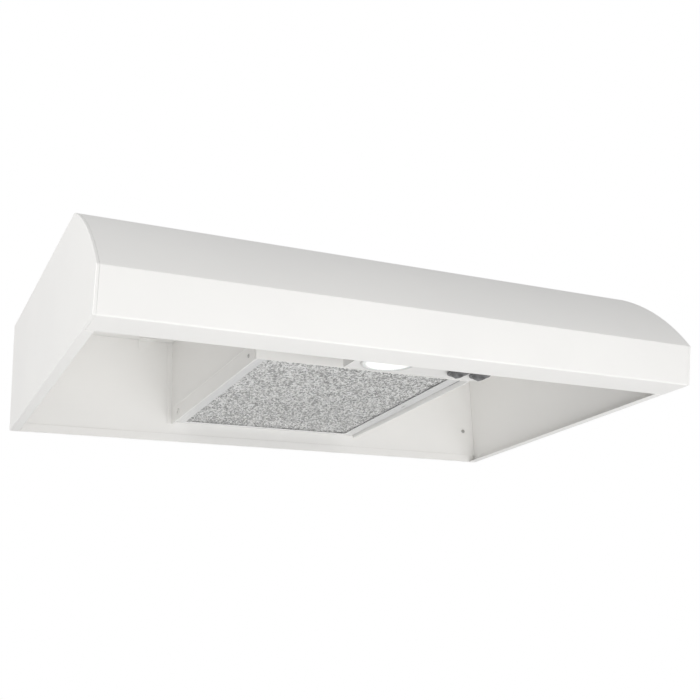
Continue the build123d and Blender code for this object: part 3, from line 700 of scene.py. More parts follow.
@dataclass(frozen=True)
class BraidedSleeve(Finish):
    """Woven glass-fibre sleeve over a bundle of wires."""

    pitch: float = 1.3

    def dress(self, tree: Tree) -> None:
        """Two crossing sets of yarns.

        Args:
            tree: The tree of the finish's material.
        """
        turn = math.tau / (self.pitch * MM)
        x, y, z = (tree.axis(axis) for axis in (Axis.X, Axis.Y, Axis.Z))
        over = ((x + y + z) * turn).sine() * ((x - y + z) * turn).sine()
        tree.surface(Base_Color=tree.blend(over.ramp(-0.6, 0.6), self.second, self.colour),
                     Roughness=self.roughness + 0.1 * over, Normal=tree.relief(over, 0.15))


@dataclass(frozen=True)
class OpalLens(Finish):
    """Frosted diffuser with fine concentric rings, lit a little from inside."""

    centre: Point3 = ORIGIN
    ring: float = 1.5
    glow: float = 0.35

    def dress(self, tree: Tree) -> None:
        """Rings moulded in the face and a soft even glow.

        Args:
            tree: The tree of the finish's material.
        """
        spoke = tree.sock("ShaderNodeVectorMath", {"operation": "LENGTH"},
                          {0: tree.place((1.0, 1.0, 0.0), self.centre)}, "Value")
        rings = (spoke * (math.tau / (self.ring * MM))).sine()
        frost = tree.noise(0.6, 2.0)
        rim = spoke.ramp(0.026, 0.031)
        tree.surface(Base_Color=tree.blend(frost, self.colour, self.second), Roughness=self.roughness + 0.1 * frost,
                     Subsurface_Weight=0.15, Subsurface_Scale=0.004,
                     Emission_Color=tree.blend(rim, self.colour, (0.0, 0.0, 0.0)),
                     Emission_Strength=self.glow, Normal=tree.relief(rings * 0.5 + frost * 0.3, 0.05))


@dataclass(frozen=True)
class SpunMetal(Finish):
    """Spun aluminium with tool rings about an upright axis."""

    centre: Point3 = ORIGIN

    def dress(self, tree: Tree) -> None:
        """Fine turning marks.

        Args:
            tree: The tree of the finish's material.
        """
        spoke = tree.sock("ShaderNodeVectorMath", {"operation": "LENGTH"},
                          {0: tree.place((1.0, 1.0, 0.0), self.centre)}, "Value")
        marks = (spoke * (math.tau / (0.7 * MM)) + 4.0 * tree.noise(2.0)).sine()
        tree.surface(Base_Color=tree.blend(marks.ramp(-1.0, 1.0), self.colour, self.second), Metallic=1.0,
                     Roughness=self.roughness + 0.06 * marks, Normal=tree.relief(marks, 0.01))


@dataclass(frozen=True)
class FrostedGlass(Finish):
    """Frosted glass of a small lamp."""

    def dress(self, tree: Tree) -> None:
        """An even frost that is thinner in places."""
        frost = tree.noise(1.2, 3.0)
        tree.surface(Base_Color=tree.blend(frost, self.colour, self.second), Roughness=self.roughness + 0.2 * frost,
                     Transmission_Weight=0.35, IOR=1.5, Normal=tree.relief(frost, 0.01))


WHITE_COAT = PowderCoat("white_coat", (0.9, 0.892, 0.872), (0.886, 0.878, 0.86), 0.36)
# Darker copy of the white coat: painted shade for the control panel, which sits behind the front lip.
PAINTED_SHADE_COAT = PowderCoat("white_coat", (0.79, 0.783, 0.768), (0.775, 0.768, 0.752), 0.4)
FILTER_RIM = BrushedMetal("filter_rim", (0.86, 0.86, 0.855), (0.78, 0.78, 0.775), 0.4, along=Axis.Y, metallic=0.55)
FILTER_MESH = FoilMesh("filter_mesh", (0.42, 0.42, 0.415), (1.0, 1.0, 0.99), 0.3)
FILTER_CORE = FoilMesh("filter_mesh", (0.25, 0.25, 0.245), (1.0, 1.0, 0.99), 0.34)
ZINC_PLATE = Galvanised("zinc_plate", (0.5, 0.52, 0.54), (0.7, 0.72, 0.74), 0.3)
SCREW_STEEL = PlatedSteel("screw_steel", (0.5, 0.5, 0.51), (0.62, 0.61, 0.58), 0.28)
SPRING_STEEL = BrushedMetal("spring_steel", (0.42, 0.43, 0.46), (0.55, 0.56, 0.58), 0.3, along=Axis.Y)
FAN_ALUMINIUM = BrushedMetal("fan_aluminium", (0.72, 0.73, 0.74), (0.82, 0.83, 0.84), 0.3, along=Axis.X)
MOTOR_PAINT = Moulding("motor_paint", (0.028, 0.028, 0.03), (0.04, 0.04, 0.042), 0.34, grain=0.9, coat=0.2)
CORE_STEEL = Laminations("core_steel", (0.3, 0.3, 0.31), (0.08, 0.08, 0.08), 0.4)
KNOB_PLASTIC = Moulding("knob_plastic", (0.125, 0.125, 0.128), (0.165, 0.165, 0.168), 0.36)
SWITCH_PLASTIC = Moulding("switch_plastic", (0.022, 0.022, 0.022), (0.035, 0.035, 0.035), 0.45)
SHAFT_NYLON = Moulding("shaft_nylon", (0.8, 0.79, 0.76), (0.85, 0.845, 0.82), 0.38)
GROMMET_RUBBER = Moulding("grommet_rubber", (0.014, 0.014, 0.014), (0.024, 0.024, 0.024), 0.62, grain=0.5)
LEAD_JACKET = BraidedSleeve("lead_jacket", (0.06, 0.06, 0.065), (0.012, 0.012, 0.014), 0.6)
LENS_DIFFUSER = OpalLens("lens_diffuser", (0.93, 0.93, 0.92), (0.88, 0.88, 0.875), 0.22, centre=LAMP_CENTRE)
BEZEL_GREY = Moulding("bezel_grey", (0.6, 0.6, 0.59), (0.66, 0.66, 0.65), 0.35)
REFLECTOR_METAL = SpunMetal("reflector_aluminium", (0.84, 0.84, 0.84), (0.9, 0.9, 0.9), 0.16, centre=LAMP_CENTRE)
HOLDER_CERAMIC = Moulding("holder_ceramic", (0.78, 0.76, 0.71), (0.83, 0.815, 0.78), 0.24, grain=1.5, coat=0.4)
BULB_GLASS = FrostedGlass("bulb_glass", (0.93, 0.93, 0.92), (0.86, 0.86, 0.85), 0.25)


# ---------------------------------------------------------------- placing pieces
def dressed(mesh: bpy.types.Mesh, name: str, finish: Finish, body: str,
            nodes: Iterable[str] = ()) -> bpy.types.Object:
    """Link a mesh in metres as a finished piece.

    Args:
        mesh: The piece's mesh, in the hood's frame.
        name: The piece's name.
        finish: Its finish.
        body: The body that it rides on.
        nodes: The CAD nodes that it stands for.

    Returns:
        The piece's object.
    """
    piece = bpy.data.objects.new(name, mesh)
    bpy.context.scene.collection.objects.link(piece)
    mesh.materials.clear()
    mesh.materials.append(finish.material())
    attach(piece, body)
    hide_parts(*nodes)
    LOG.info("%s: %d faces on %s for %s", name, len(mesh.polygons), body, ", ".join(nodes) or "no node")
    return piece


def placed(shape: Shape, name: str, finish: Finish, body: str, nodes: Iterable[str] = (),
           crease: float = 32.0) -> bpy.types.Object:
    """Finish a shape as a piece, with even shading between edges sharper than a crease in degrees.

    Args:
        shape: The finished shape.
        name: Name of the piece.
        finish: Its finish.
        body: The body it moves with.
        nodes: The CAD nodes it stands for.
        crease: Angle above which an edge stays sharp.

    Returns:
        The piece.
    """
    shape.bm.transform(Matrix.Scale(MM, 4))
    holder = bpy.data.objects.new("in_work", shape.as_mesh(name))
    bpy.context.scene.collection.objects.link(holder)
    holder.data.shade_smooth()
    holder.data.set_sharp_from_angle(angle=math.radians(crease))
    even = holder.modifiers.new("even", "WEIGHTED_NORMAL")
    even.keep_sharp = True
    mesh = plain_mesh(holder)
    bpy.data.objects.remove(holder)
    mesh.name = name
    return dressed(mesh, name, finish, body, nodes)


def dress_node(node: str, finish: Finish) -> None:
    """Give a CAD node that stays its finish.

    Args:
        node: Name of the CAD node.
        finish: Its finish.
    """
    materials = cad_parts[node].data.materials
    materials.clear()
    materials.append(finish.material())
    LOG.info("%s: CAD node kept in %s", node, finish.slot)


def softened(node: str, name: str, finish: Finish, width: float = 0.2, body: str = "hood") -> bpy.types.Object:
    """A copy of a CAD node with eased edges, which stands for it."""
    return placed(Shape.of_node(node).eased(width), name, finish, body, [node])


# ---------------------------------------------------------------- growing repeats with geometry nodes
class Grower:
    """A Geometry Nodes tree with named inputs that is run once and turned into a plain mesh."""

    def __init__(self, name: str, inputs: Mapping[str, tuple[str, object]]) -> None:
        """Make the tree.

        Args:
            name: The tree's name.
            inputs: For each named input, its socket type and its value.
        """
        self.group = bpy.data.node_groups.new(name, "GeometryNodeTree")
        self.group.interface.new_socket("Geometry", in_out="INPUT", socket_type="NodeSocketGeometry")
        self.values = {}
        for label, (kind, value) in inputs.items():
            socket = self.group.interface.new_socket(label, in_out="INPUT", socket_type=kind)
            self.values[socket.identifier] = value
        self.group.interface.new_socket("Geometry", in_out="OUTPUT", socket_type="NodeSocketGeometry")
        self.tree = Tree(self.group)
        self.entry = self.tree.node("NodeGroupInput")

    def input(self, label: str) -> Sock:
        """One of the tree's inputs."""
        return Sock(self.tree, self.entry.outputs[label])

    def grown(self, result: Sock, finish: Finish, base: bpy.types.Mesh | None = None) -> bpy.types.Mesh:
        """Close the tree, run it on a base mesh and give the plain result.

        Args:
            result: The geometry that the tree ends in.
            finish: The finish that the tree sets.
            base: The mesh that the tree starts from, if any.

        Returns:
            A mesh with no instances.
        """
        whole = self.tree.sock("GeometryNodeRealizeInstances", {}, {0: result})
        done = self.tree.sock("GeometryNodeSetMaterial", {}, {"Geometry": whole, "Material": finish.material()})
        self.tree.node("NodeGroupOutput", {}, {0: done})
        holder = bpy.data.objects.new("in_work", base or bpy.data.meshes.new("in_work"))
        modifier = holder.modifiers.new("grow", "NODES")
        modifier.node_group = self.group
        for identifier, value in self.values.items():
            modifier[identifier] = value
        bpy.context.scene.collection.objects.link(holder)
        mesh = plain_mesh(holder)
        holder.modifiers.remove(modifier)
        bpy.data.objects.remove(holder)
        return mesh


@dataclass(frozen=True)
class Screw:
    """A pan-head screw with a cross recess: where its head's seat is and which way the head faces."""

    seat: Point3
    facing: Point3


@dataclass
class ScrewSet:
    """Screws of one size, grown on their seats by Geometry Nodes, each turned by a random amount."""

    name: str
    nodes: Sequence[str]
    screws: Sequence[Screw]
    head_radius: float = 3.6
    head_height: float = 2.2
    shank_radius: float = 1.9
    shank: float = 3.0
    seed: int = 7

    def template(self) -> bpy.types.Object:
        """One screw with its seat at the origin and its head along +Z.

        Returns:
            The screw's object, in metres.
        """
        radius, height = self.head_radius, self.head_height
        body = Shape.lathed([(0, -self.shank, 0), (self.shank_radius, -self.shank, 0.5), (self.shank_radius, 0, 0),
                             (radius, 0, 0.3), (radius, height * 0.75, radius * 0.35),
                             (radius * 0.55, height, radius * 0.5), (0, height, 0)], ORIGIN, steps=32)
        arm, wing = radius * 0.58, radius * 0.13
        cross = [Shape.box((-arm, arm), (-wing, wing), (height * 0.45, height + 1.0)),
                 Shape.box((-wing, wing), (-arm, arm), (height * 0.46, height + 1.1))]
        for tool in cross:
            body.cut(tool)
        body.moved(Matrix.Scale(MM, 4))
        mesh = body.as_mesh("screw_template")
        mesh.shade_smooth()
        mesh.set_sharp_from_angle(angle=math.radians(35))
        template = bpy.data.objects.new("screw_template", mesh)
        bpy.context.scene.collection.objects.link(template)
        return template

    def build(self, finish: Finish, body: str = "hood") -> None:
        """Grow the screws and place them as one piece.

        Args:
            finish: Finish of the screws.
            body: The body they move with.
        """
        template = self.template()
        seats = bpy.data.meshes.new("screw_seats")
        seats.from_pydata([tuple(MM * value for value in screw.seat) for screw in self.screws], [], [])
        facing = seats.attributes.new("facing", "FLOAT_VECTOR", "POINT")
        facing.data.foreach_set("vector", [value for screw in self.screws for value in screw.facing])
        grower = Grower("screws", {"Screw": ("NodeSocketObject", template), "Turn": ("NodeSocketFloat", math.tau),
                                   "Seed": ("NodeSocketInt", self.seed)})
        tree = grower.tree
        screw = tree.sock("GeometryNodeObjectInfo", {}, {"Object": grower.input("Screw")}, "Geometry")
        normal = tree.sock("GeometryNodeInputNamedAttribute", {"data_type": "FLOAT_VECTOR"}, {"Name": "facing"})
        aim = tree.sock("FunctionNodeAlignRotationToVector", {"axis": "Z"}, {"Vector": normal})
        turn = tree.sock("FunctionNodeRandomValue", {"data_type": "FLOAT"},
                         {2: 0.0, 3: grower.input("Turn"), "Seed": grower.input("Seed")}, 1)
        spin = tree.sock("FunctionNodeAxisAngleToRotation", {}, {"Axis": (0.0, 0.0, 1.0), "Angle": turn})
        rotation = tree.sock("FunctionNodeRotateRotation", {"rotation_space": "LOCAL"}, {0: aim, 1: spin})
        spread = tree.sock("GeometryNodeInstanceOnPoints", {},
                           {"Points": grower.input("Geometry"), "Instance": screw, "Rotation": rotation})
        mesh = grower.grown(spread, finish, seats)
        bpy.data.objects.remove(template)
        dressed(mesh, self.name, finish, body, self.nodes)


# ---------------------------------------------------------------- canopy
@dataclass
class CanopyLine:
    """Side outline of the canopy: flat deck, tight bend, wide curve, crease and slanted fascia."""

    back: float = 254.0
    front: float = -254.0
    height: float = 152.4
    bend_radius: float = 9.9
    bend_turn: float = 27.9
    curve_radius: float = 302.3
    curve_turn: float = 29.1
    foot: float = -243.2
    crease_radius: float = 1.8

    def front_line(self) -> list[Point2]:
        """Points from the deck's front edge round both curves to the crease.

        Returns:
            The points, from back to front and down.
        """
        first, second = math.radians(self.bend_turn), math.radians(self.bend_turn + self.curve_turn)
        bend_y = (self.front + self.bend_radius * math.sin(first)
                  + self.curve_radius * (math.sin(second) - math.sin(first)))
        centre = (bend_y, self.height - self.bend_radius)
        wide = self.curve_radius - self.bend_radius
        far = (centre[0] + wide * math.sin(first), centre[1] - wide * math.cos(first))
        points = []
        for step in range(9):
            turn = first * step / 8
            points.append((centre[0] - self.bend_radius * math.sin(turn),
                           centre[1] + self.bend_radius * math.cos(turn)))
        for step in range(1, 29):
            turn = first + (second - first) * step / 28
            points.append((far[0] - self.curve_radius * math.sin(turn), far[1] + self.curve_radius * math.cos(turn)))
        return points

    def outline(self, distance: float = 0.0, corner: float = 1.2) -> list[Point2]:
        """Closed outline moved inwards by a distance, always with the same number of points.

        Args:
            distance: How far inwards.
            corner: Radius of the corners at the back and at the foot.

        Returns:
            The points of the outline.
        """
        sharp = [(self.back, 0.0), (self.back, self.height), *self.front_line(), (self.foot, 0.0)]
        radii = [corner, corner, *[0.0] * (len(sharp) - 4), self.crease_radius, corner]
        moved = inset(sharp, distance)
        return rounded(moved, [max(radius - distance, 0.06) if radius else 0.0 for radius in radii], 4)

    def open_line(self, start: float, distance: float, end: float) -> list[Point2]:
        """Part of the inset outline from a place on the deck down to a height on the fascia.

        Args:
            start: Where it starts on the deck.
            distance: How far inwards the outline is moved.
            end: The height at which it ends.

        Returns:
            The points of the line.
        """
        sharp = inset([(self.back, self.height), *self.front_line(), (self.foot, 0.0)], distance, closed=False)
        (y1, z1), (y0, z0) = sharp[-2], sharp[-1]
        last = (y0 + (y1 - y0) * (end - z0) / (z1 - z0), end)
        return [(start, sharp[0][1]), *sharp[1:-1], last]


@dataclass
class Canopy:
    """Deck, curved front, fascia and lip, the end panels, the back wall and their small parts."""

    line: CanopyLine = field(default_factory=CanopyLine)
    gauge: float = 1.0
    sheet_half: float = 375.8
    wall_half: float = 378.3
    plate_x: float = 378.4
    face_x: float = 379.4
    ring_x: float = 375.9
    lip_y: float = -194.6
    lip_height: float = 12.0
    orifice: float = 91.0
    fan_y: float = FAN_Y
    entry: Point3 = (-113.0, 206.0, 126.0)
    entry_radius: float = 11.1
    slots: Point2 = (650.0, 230.0)
    slot_centre_y: float = 75.0
    slot_length: float = 16.0
    slot_radius: float = 3.0
    screw_x: float = 358.4
    screw_z: float = 52.0

    def build(self) -> None:
        """Make every piece of the canopy."""
        self.sheet()
        right = self.end_panel()
        placed(right.mirrored(), "end_panel_left", WHITE_COAT, "hood", ["left_end_panel"])
        placed(right, "end_panel_right", WHITE_COAT, "hood", ["right_end_panel"])
        self.back_wall()
        softened("deck_cleats", "cleats_deck", WHITE_COAT, 0.25)
        seats = [Screw((side * self.screw_x, 251.95, self.screw_z), (0.0, -1.0, 0.0)) for side in (-1, 1)]
        ScrewSet("screws_back", ["back_screws"], seats, head_radius=3.0, head_height=1.8, shank=1.8).build(SCREW_STEEL)

    def sheet(self) -> None:
        """One bent sheet for the deck, the curved front, the fascia and the lip."""
        line = self.line
        path = [(line.back, line.height), *line.front_line(), (line.foot, 0.0), (self.lip_y, 0.0),
                (self.lip_y, self.lip_height)]
        radii = [0.0] * len(path)
        radii[-4], radii[-3], radii[-2] = line.crease_radius, 2.2, 1.9
        path = rounded(path, radii, 6, closed=False)
        shape = Shape.prism(sheet_outline(path, self.gauge), -self.sheet_half, self.sheet_half, Axis.X)
        low, high = line.height - 3, line.height + 3
        holes = [Shape.rod(self.orifice, (0, self.fan_y, 0), low, high, steps=128),
                 Shape.rod(self.entry_radius, self.entry[:2] + (0,), low, high)]
        for x in (-self.slots[0] / 2, self.slots[0] / 2):
            for y in (self.slot_centre_y - self.slots[1] / 2, self.slot_centre_y + self.slots[1] / 2):
                outline = rounded(rectangle(x - self.slot_length / 2, x + self.slot_length / 2,
                                            y - self.slot_radius, y + self.slot_radius), self.slot_radius * 0.999, 8)
                holes.append(Shape.prism(outline, low, high, Axis.Z))
        placed(shape.cut(*holes).eased(0.22), "canopy_sheet", WHITE_COAT, "hood", ["top_deck", "front_panel"])

    def end_panel(self) -> Shape:
        """Right end panel: plate with a rolled rim, inner flange, bottom lip and rear flange.

        Returns:
            The panel, to be mirrored for the left.
        """
        stations = [(self.plate_x, 1.0), (376.15, 1.0), (375.95, 0.85), (self.ring_x, 0.65), (self.ring_x, 0.35),
                    (375.97, 0.12), (376.2, 0.0), (378.6, 0.0), (378.95, 0.1), (379.22, 0.32), (379.36, 0.62),
                    (self.face_x, 0.95)]
        rim = Shape.loft([[Axis.X.place(y, z, x) for y, z in self.line.outline(distance, 1.6)]
                          for x, distance in stations])
        band = sheet_outline(self.line.open_line(232.0, 1.15, 8.0), self.gauge)
        flange = Shape.prism(band, 364.0, self.plate_x + 0.4, Axis.X).eased(0.25)
        fold = rounded(rectangle(366.7, self.ring_x + 0.02, 0.0, self.gauge), [0.35, 0, 0, 0.35], 3)
        lip = Shape.prism(fold, self.lip_y + 0.3, 252.0, Axis.Y)
        rear = Shape.box((355.0, self.ring_x + 0.02), (253.0, 254.0), (0.0, 151.3))
        rear.cut(Shape.rod(2.0, (self.screw_x, 0, self.screw_z), 250, 256, Axis.Y)).eased(0.25)
        return rim.joined(flange, lip, rear)

    def back_wall(self) -> None:
        """Back wall with corner notches, a wiring hole, screw holes and a folded foot."""
        half, inner = self.wall_half, self.ring_x - 0.1
        right = [(inner, 0), (inner, 1.1), (half, 1.1), (half, 5), (half - 4.5, 5), (half - 4.5, 11), (half, 11),
                 (half, 151.3)]
        corners = [*right, *[(-x, z) for x, z in reversed(right)]]
        wall = Shape.prism(corners, 252.0, 252.95, Axis.Y)
        holes = [Shape.rod(self.entry_radius, (self.entry[0], 0, self.entry[2]), 250, 255, Axis.Y)]
        holes += [Shape.rod(2.0, (side * self.screw_x, 0, self.screw_z), 250, 255, Axis.Y) for side in (-1, 1)]
        wall.cut(*holes).eased(0.2)
        fold = rounded([(251.2, 12), (251.2, 0), (252.02, 0), (252.02, 12)], [0.3, 0.6, 0.1, 0.1], 4)
        hem = Shape.prism(fold, -inner + 12, inner - 12, Axis.X).eased(0.15)
        placed(wall.joined(hem), "back_wall", WHITE_COAT, "hood", ["back_panel"])


# ---------------------------------------------------------------- plenum box
@dataclass
class Plenum:
    """Box in the middle of the canopy that carries the filter, the fan and the wiring compartment."""

    half: float = 150.0
    front: float = -89.0
    back: float = 251.9
    low: float = 26.0
    high: float = 151.3
    gauge: float = 1.0
    pivot: Point2 = FILTER_PIVOT
    catch: Point2 = (-66.0, 36.0)
    rail: float = 0.8
    rail_top: float = 49.5
    lead_x: float = 113.0
    lead_z: float = 132.0
    bracket_y: Point2 = (FAN_Y - 10.0, FAN_Y + 10.0)
    bracket_z: float = 108.0

    def build(self) -> None:
        """Make the walls, the rails and what is fixed to them."""
        wall = self.side_wall()
        rail = self.side_rail()
        placed(wall.mirrored(), "partition_left_sheet", WHITE_COAT, "hood", ["left_partition"])
        placed(rail.mirrored(), "filter_rail_left_strip", WHITE_COAT, "hood", ["left_filter_rail"])
        placed(wall, "partition_right_sheet", WHITE_COAT, "hood", ["right_partition"])
        placed(rail, "filter_rail_right_strip", WHITE_COAT, "hood", ["right_filter_rail"])
        self.front_wall()
        self.hinge_parts()
        self.wiring()
        bracket = [Screw((side * (self.half + 0.05), y, self.bracket_z), (side, 0.0, 0.0))
                   for side in (-1, 1) for y in self.bracket_y]
        ScrewSet("screws_bracket", ["bracket_screws"], bracket, seed=11).build(SCREW_STEEL)

    def side_wall(self) -> Shape:
        """Right side wall with its rear and top flanges and its holes.

        Returns:
            The wall, to be mirrored for the left.
        """
        start = self.front + self.gauge + 0.05
        path = rounded([(self.half, start), (self.half, self.back - 1.0), (self.half + 7, self.back - 1.0)],
                       [0, 0.8, 0], 4, closed=False)
        wall = Shape.prism(sheet_outline(path, self.gauge), self.low, self.high, Axis.Z)
        screws = [Shape.rod(2.0, (0, y, self.bracket_z), 146, 153, Axis.X) for y in self.bracket_y]
        wall.cut(*self.hinge_holes(), *screws).eased(0.22)
        top = Shape.box((self.half - 0.5, self.half + 12), (start, 236.0), (self.high - 1.0, self.high)).eased(0.22)
        return wall.joined(top)

    def side_rail(self) -> Shape:
        """Right stiffening strip along the side wall's lower edge.

        Returns:
            The strip, to be mirrored for the left.
        """
        outline = rounded(rectangle(self.front + 5, 244.0, self.low, self.rail_top), 2.0, 4)
        strip = Shape.prism(outline, self.half + 0.02, self.half + self.rail, Axis.X)
        bead = rounded([(self.half + 0.4, self.rail_top - 1.7), (self.half + self.rail, self.rail_top - 1.7),
                        (self.half + self.rail + 0.5, self.rail_top - 1.2),
                        (self.half + self.rail + 0.5, self.rail_top - 0.5),
                        (self.half + self.rail, self.rail_top - 0.05), (self.half + 0.4, self.rail_top - 0.05)],
                       [0, 0.1, 0.3, 0.3, 0.1, 0], 3)
        ridge = Shape.prism(bead, self.front + 7.5, 241.5, Axis.Y)
        return strip.cut(*self.hinge_holes()).eased(0.2).joined(ridge)

    def hinge_holes(self) -> list[Shape]:
        """Cutters through the right side wall and its rail for the pivot bush and the catch's rivet."""
        return [Shape.rod(radius, (0, *place), 146, 153, Axis.X)
                for radius, place in ((3.5, self.pivot), (1.6, self.catch))]

    def front_wall(self) -> None:
        """Front wall with side and top flanges and two lead holes."""
        wall = Shape.box((-self.half, self.half), (self.front, self.front + self.gauge), (self.low, self.high))
        wall.cut(*[Shape.rod(6.0, (side * self.lead_x, 0, self.lead_z), self.front - 3, self.front + 3, Axis.Y)
                   for side in (-1, 1)]).eased(0.22)
        inner = self.half - self.gauge - 0.05
        flange = Shape.box((inner - 1, inner), (self.front + 0.4, self.front + 12), (self.low, self.high)).eased(0.22)
        top = Shape.box((-self.half, self.half), (self.front - 12, self.front + 0.5), (self.high - 1, self.high))
        placed(wall.joined(flange, flange.mirrored(), top.eased(0.22)), "front_wall_plenum", WHITE_COAT, "hood",
               ["plenum_front_wall"])
        groove = [(3.1, -1.5, 0.4), (5.6, -1.5, 0.3), (8.4, -1.2, 0.5), (8.4, -0.1, 0.2), (5.95, -0.05, 0.1),
                  (5.95, 1.05, 0.1), (8.4, 1.1, 0.2), (8.4, 2.3, 0.5), (5.6, 2.5, 0.3), (3.1, 2.5, 0.4)]
        rings = [Shape.lathed(groove, (side * self.lead_x, self.front, self.lead_z), Axis.Y, 48) for side in (-1, 1)]
        placed(rings[0].joined(rings[1]), "grommet_rings", GROMMET_RUBBER, "hood", ["harness_grommets"])

    def hinge_parts(self) -> None:
        """Nylon bushes, leaf-spring catches and their rivets."""
        x = self.half + self.rail
        bush = Shape.lathed([(2.05, self.half - 1.0, 0.2), (3.45, self.half - 1.0, 0.2), (3.45, x + 0.05, 0),
                             (4.6, x + 0.05, 0.2), (4.6, x + 1.25, 0.5), (2.05, x + 1.25, 0.3)],
                            (0.0, *self.pivot), Axis.X, 40)
        placed(bush.mirrored().joined(bush), "bushes_pivot", SHAFT_NYLON, "hood", ["filter_pivot_bushes"])
        rivet = Shape.lathed([(0, self.half - 1.4, 0), (1.55, self.half - 1.4, 0.2), (1.55, x + 0.05, 0),
                              (2.4, x + 0.05, 0.1), (2.4, x + 0.6, 0.3), (1.9, x + 1.05, 0.2),
                              (1.25, x + 1.05, 0.2), (1.1, x - 1.0, 0.1), (0, x - 1.0, 0)],
                             (0.0, *self.catch), Axis.X, 32)
        placed(rivet.mirrored().joined(rivet), "rivets_catch", SCREW_STEEL, "hood", ["catch_rivets"])
        leaves = Shape.of_node("filter_catches").cut(Shape.box((-160, 160), (-90, -20), (20, 32.7)))
        placed(leaves.eased(0.12), "catches_filter", SPRING_STEEL, "hood", ["filter_catches"])

    def wiring(self) -> None:
        """Wiring compartment with its cover and screws, the terminal block and the leads."""
        softened("wiring_box", "compartment_walls", ZINC_PLATE, 0.22)
        softened("wiring_cover", "compartment_cover", ZINC_PLATE, 0.22)
        softened("terminal_block", "terminals", SWITCH_PLASTIC, 0.4)
        softened("harness_clips", "clips_harness", SHAFT_NYLON, 0.3)
        seats = [Screw((-71.5, y, 96.9), (0.0, 0.0, -1.0)) for y in (172.0, 217.9)]
        ScrewSet("screws_wiring", ["wiring_screws"], seats, head_radius=3.2, shank_radius=1.4,
                 seed=3).build(SCREW_STEEL)
        for node in ("supply_lead", "motor_lead", "lamp_lead"):
            dress_node(node, LEAD_JACKET)


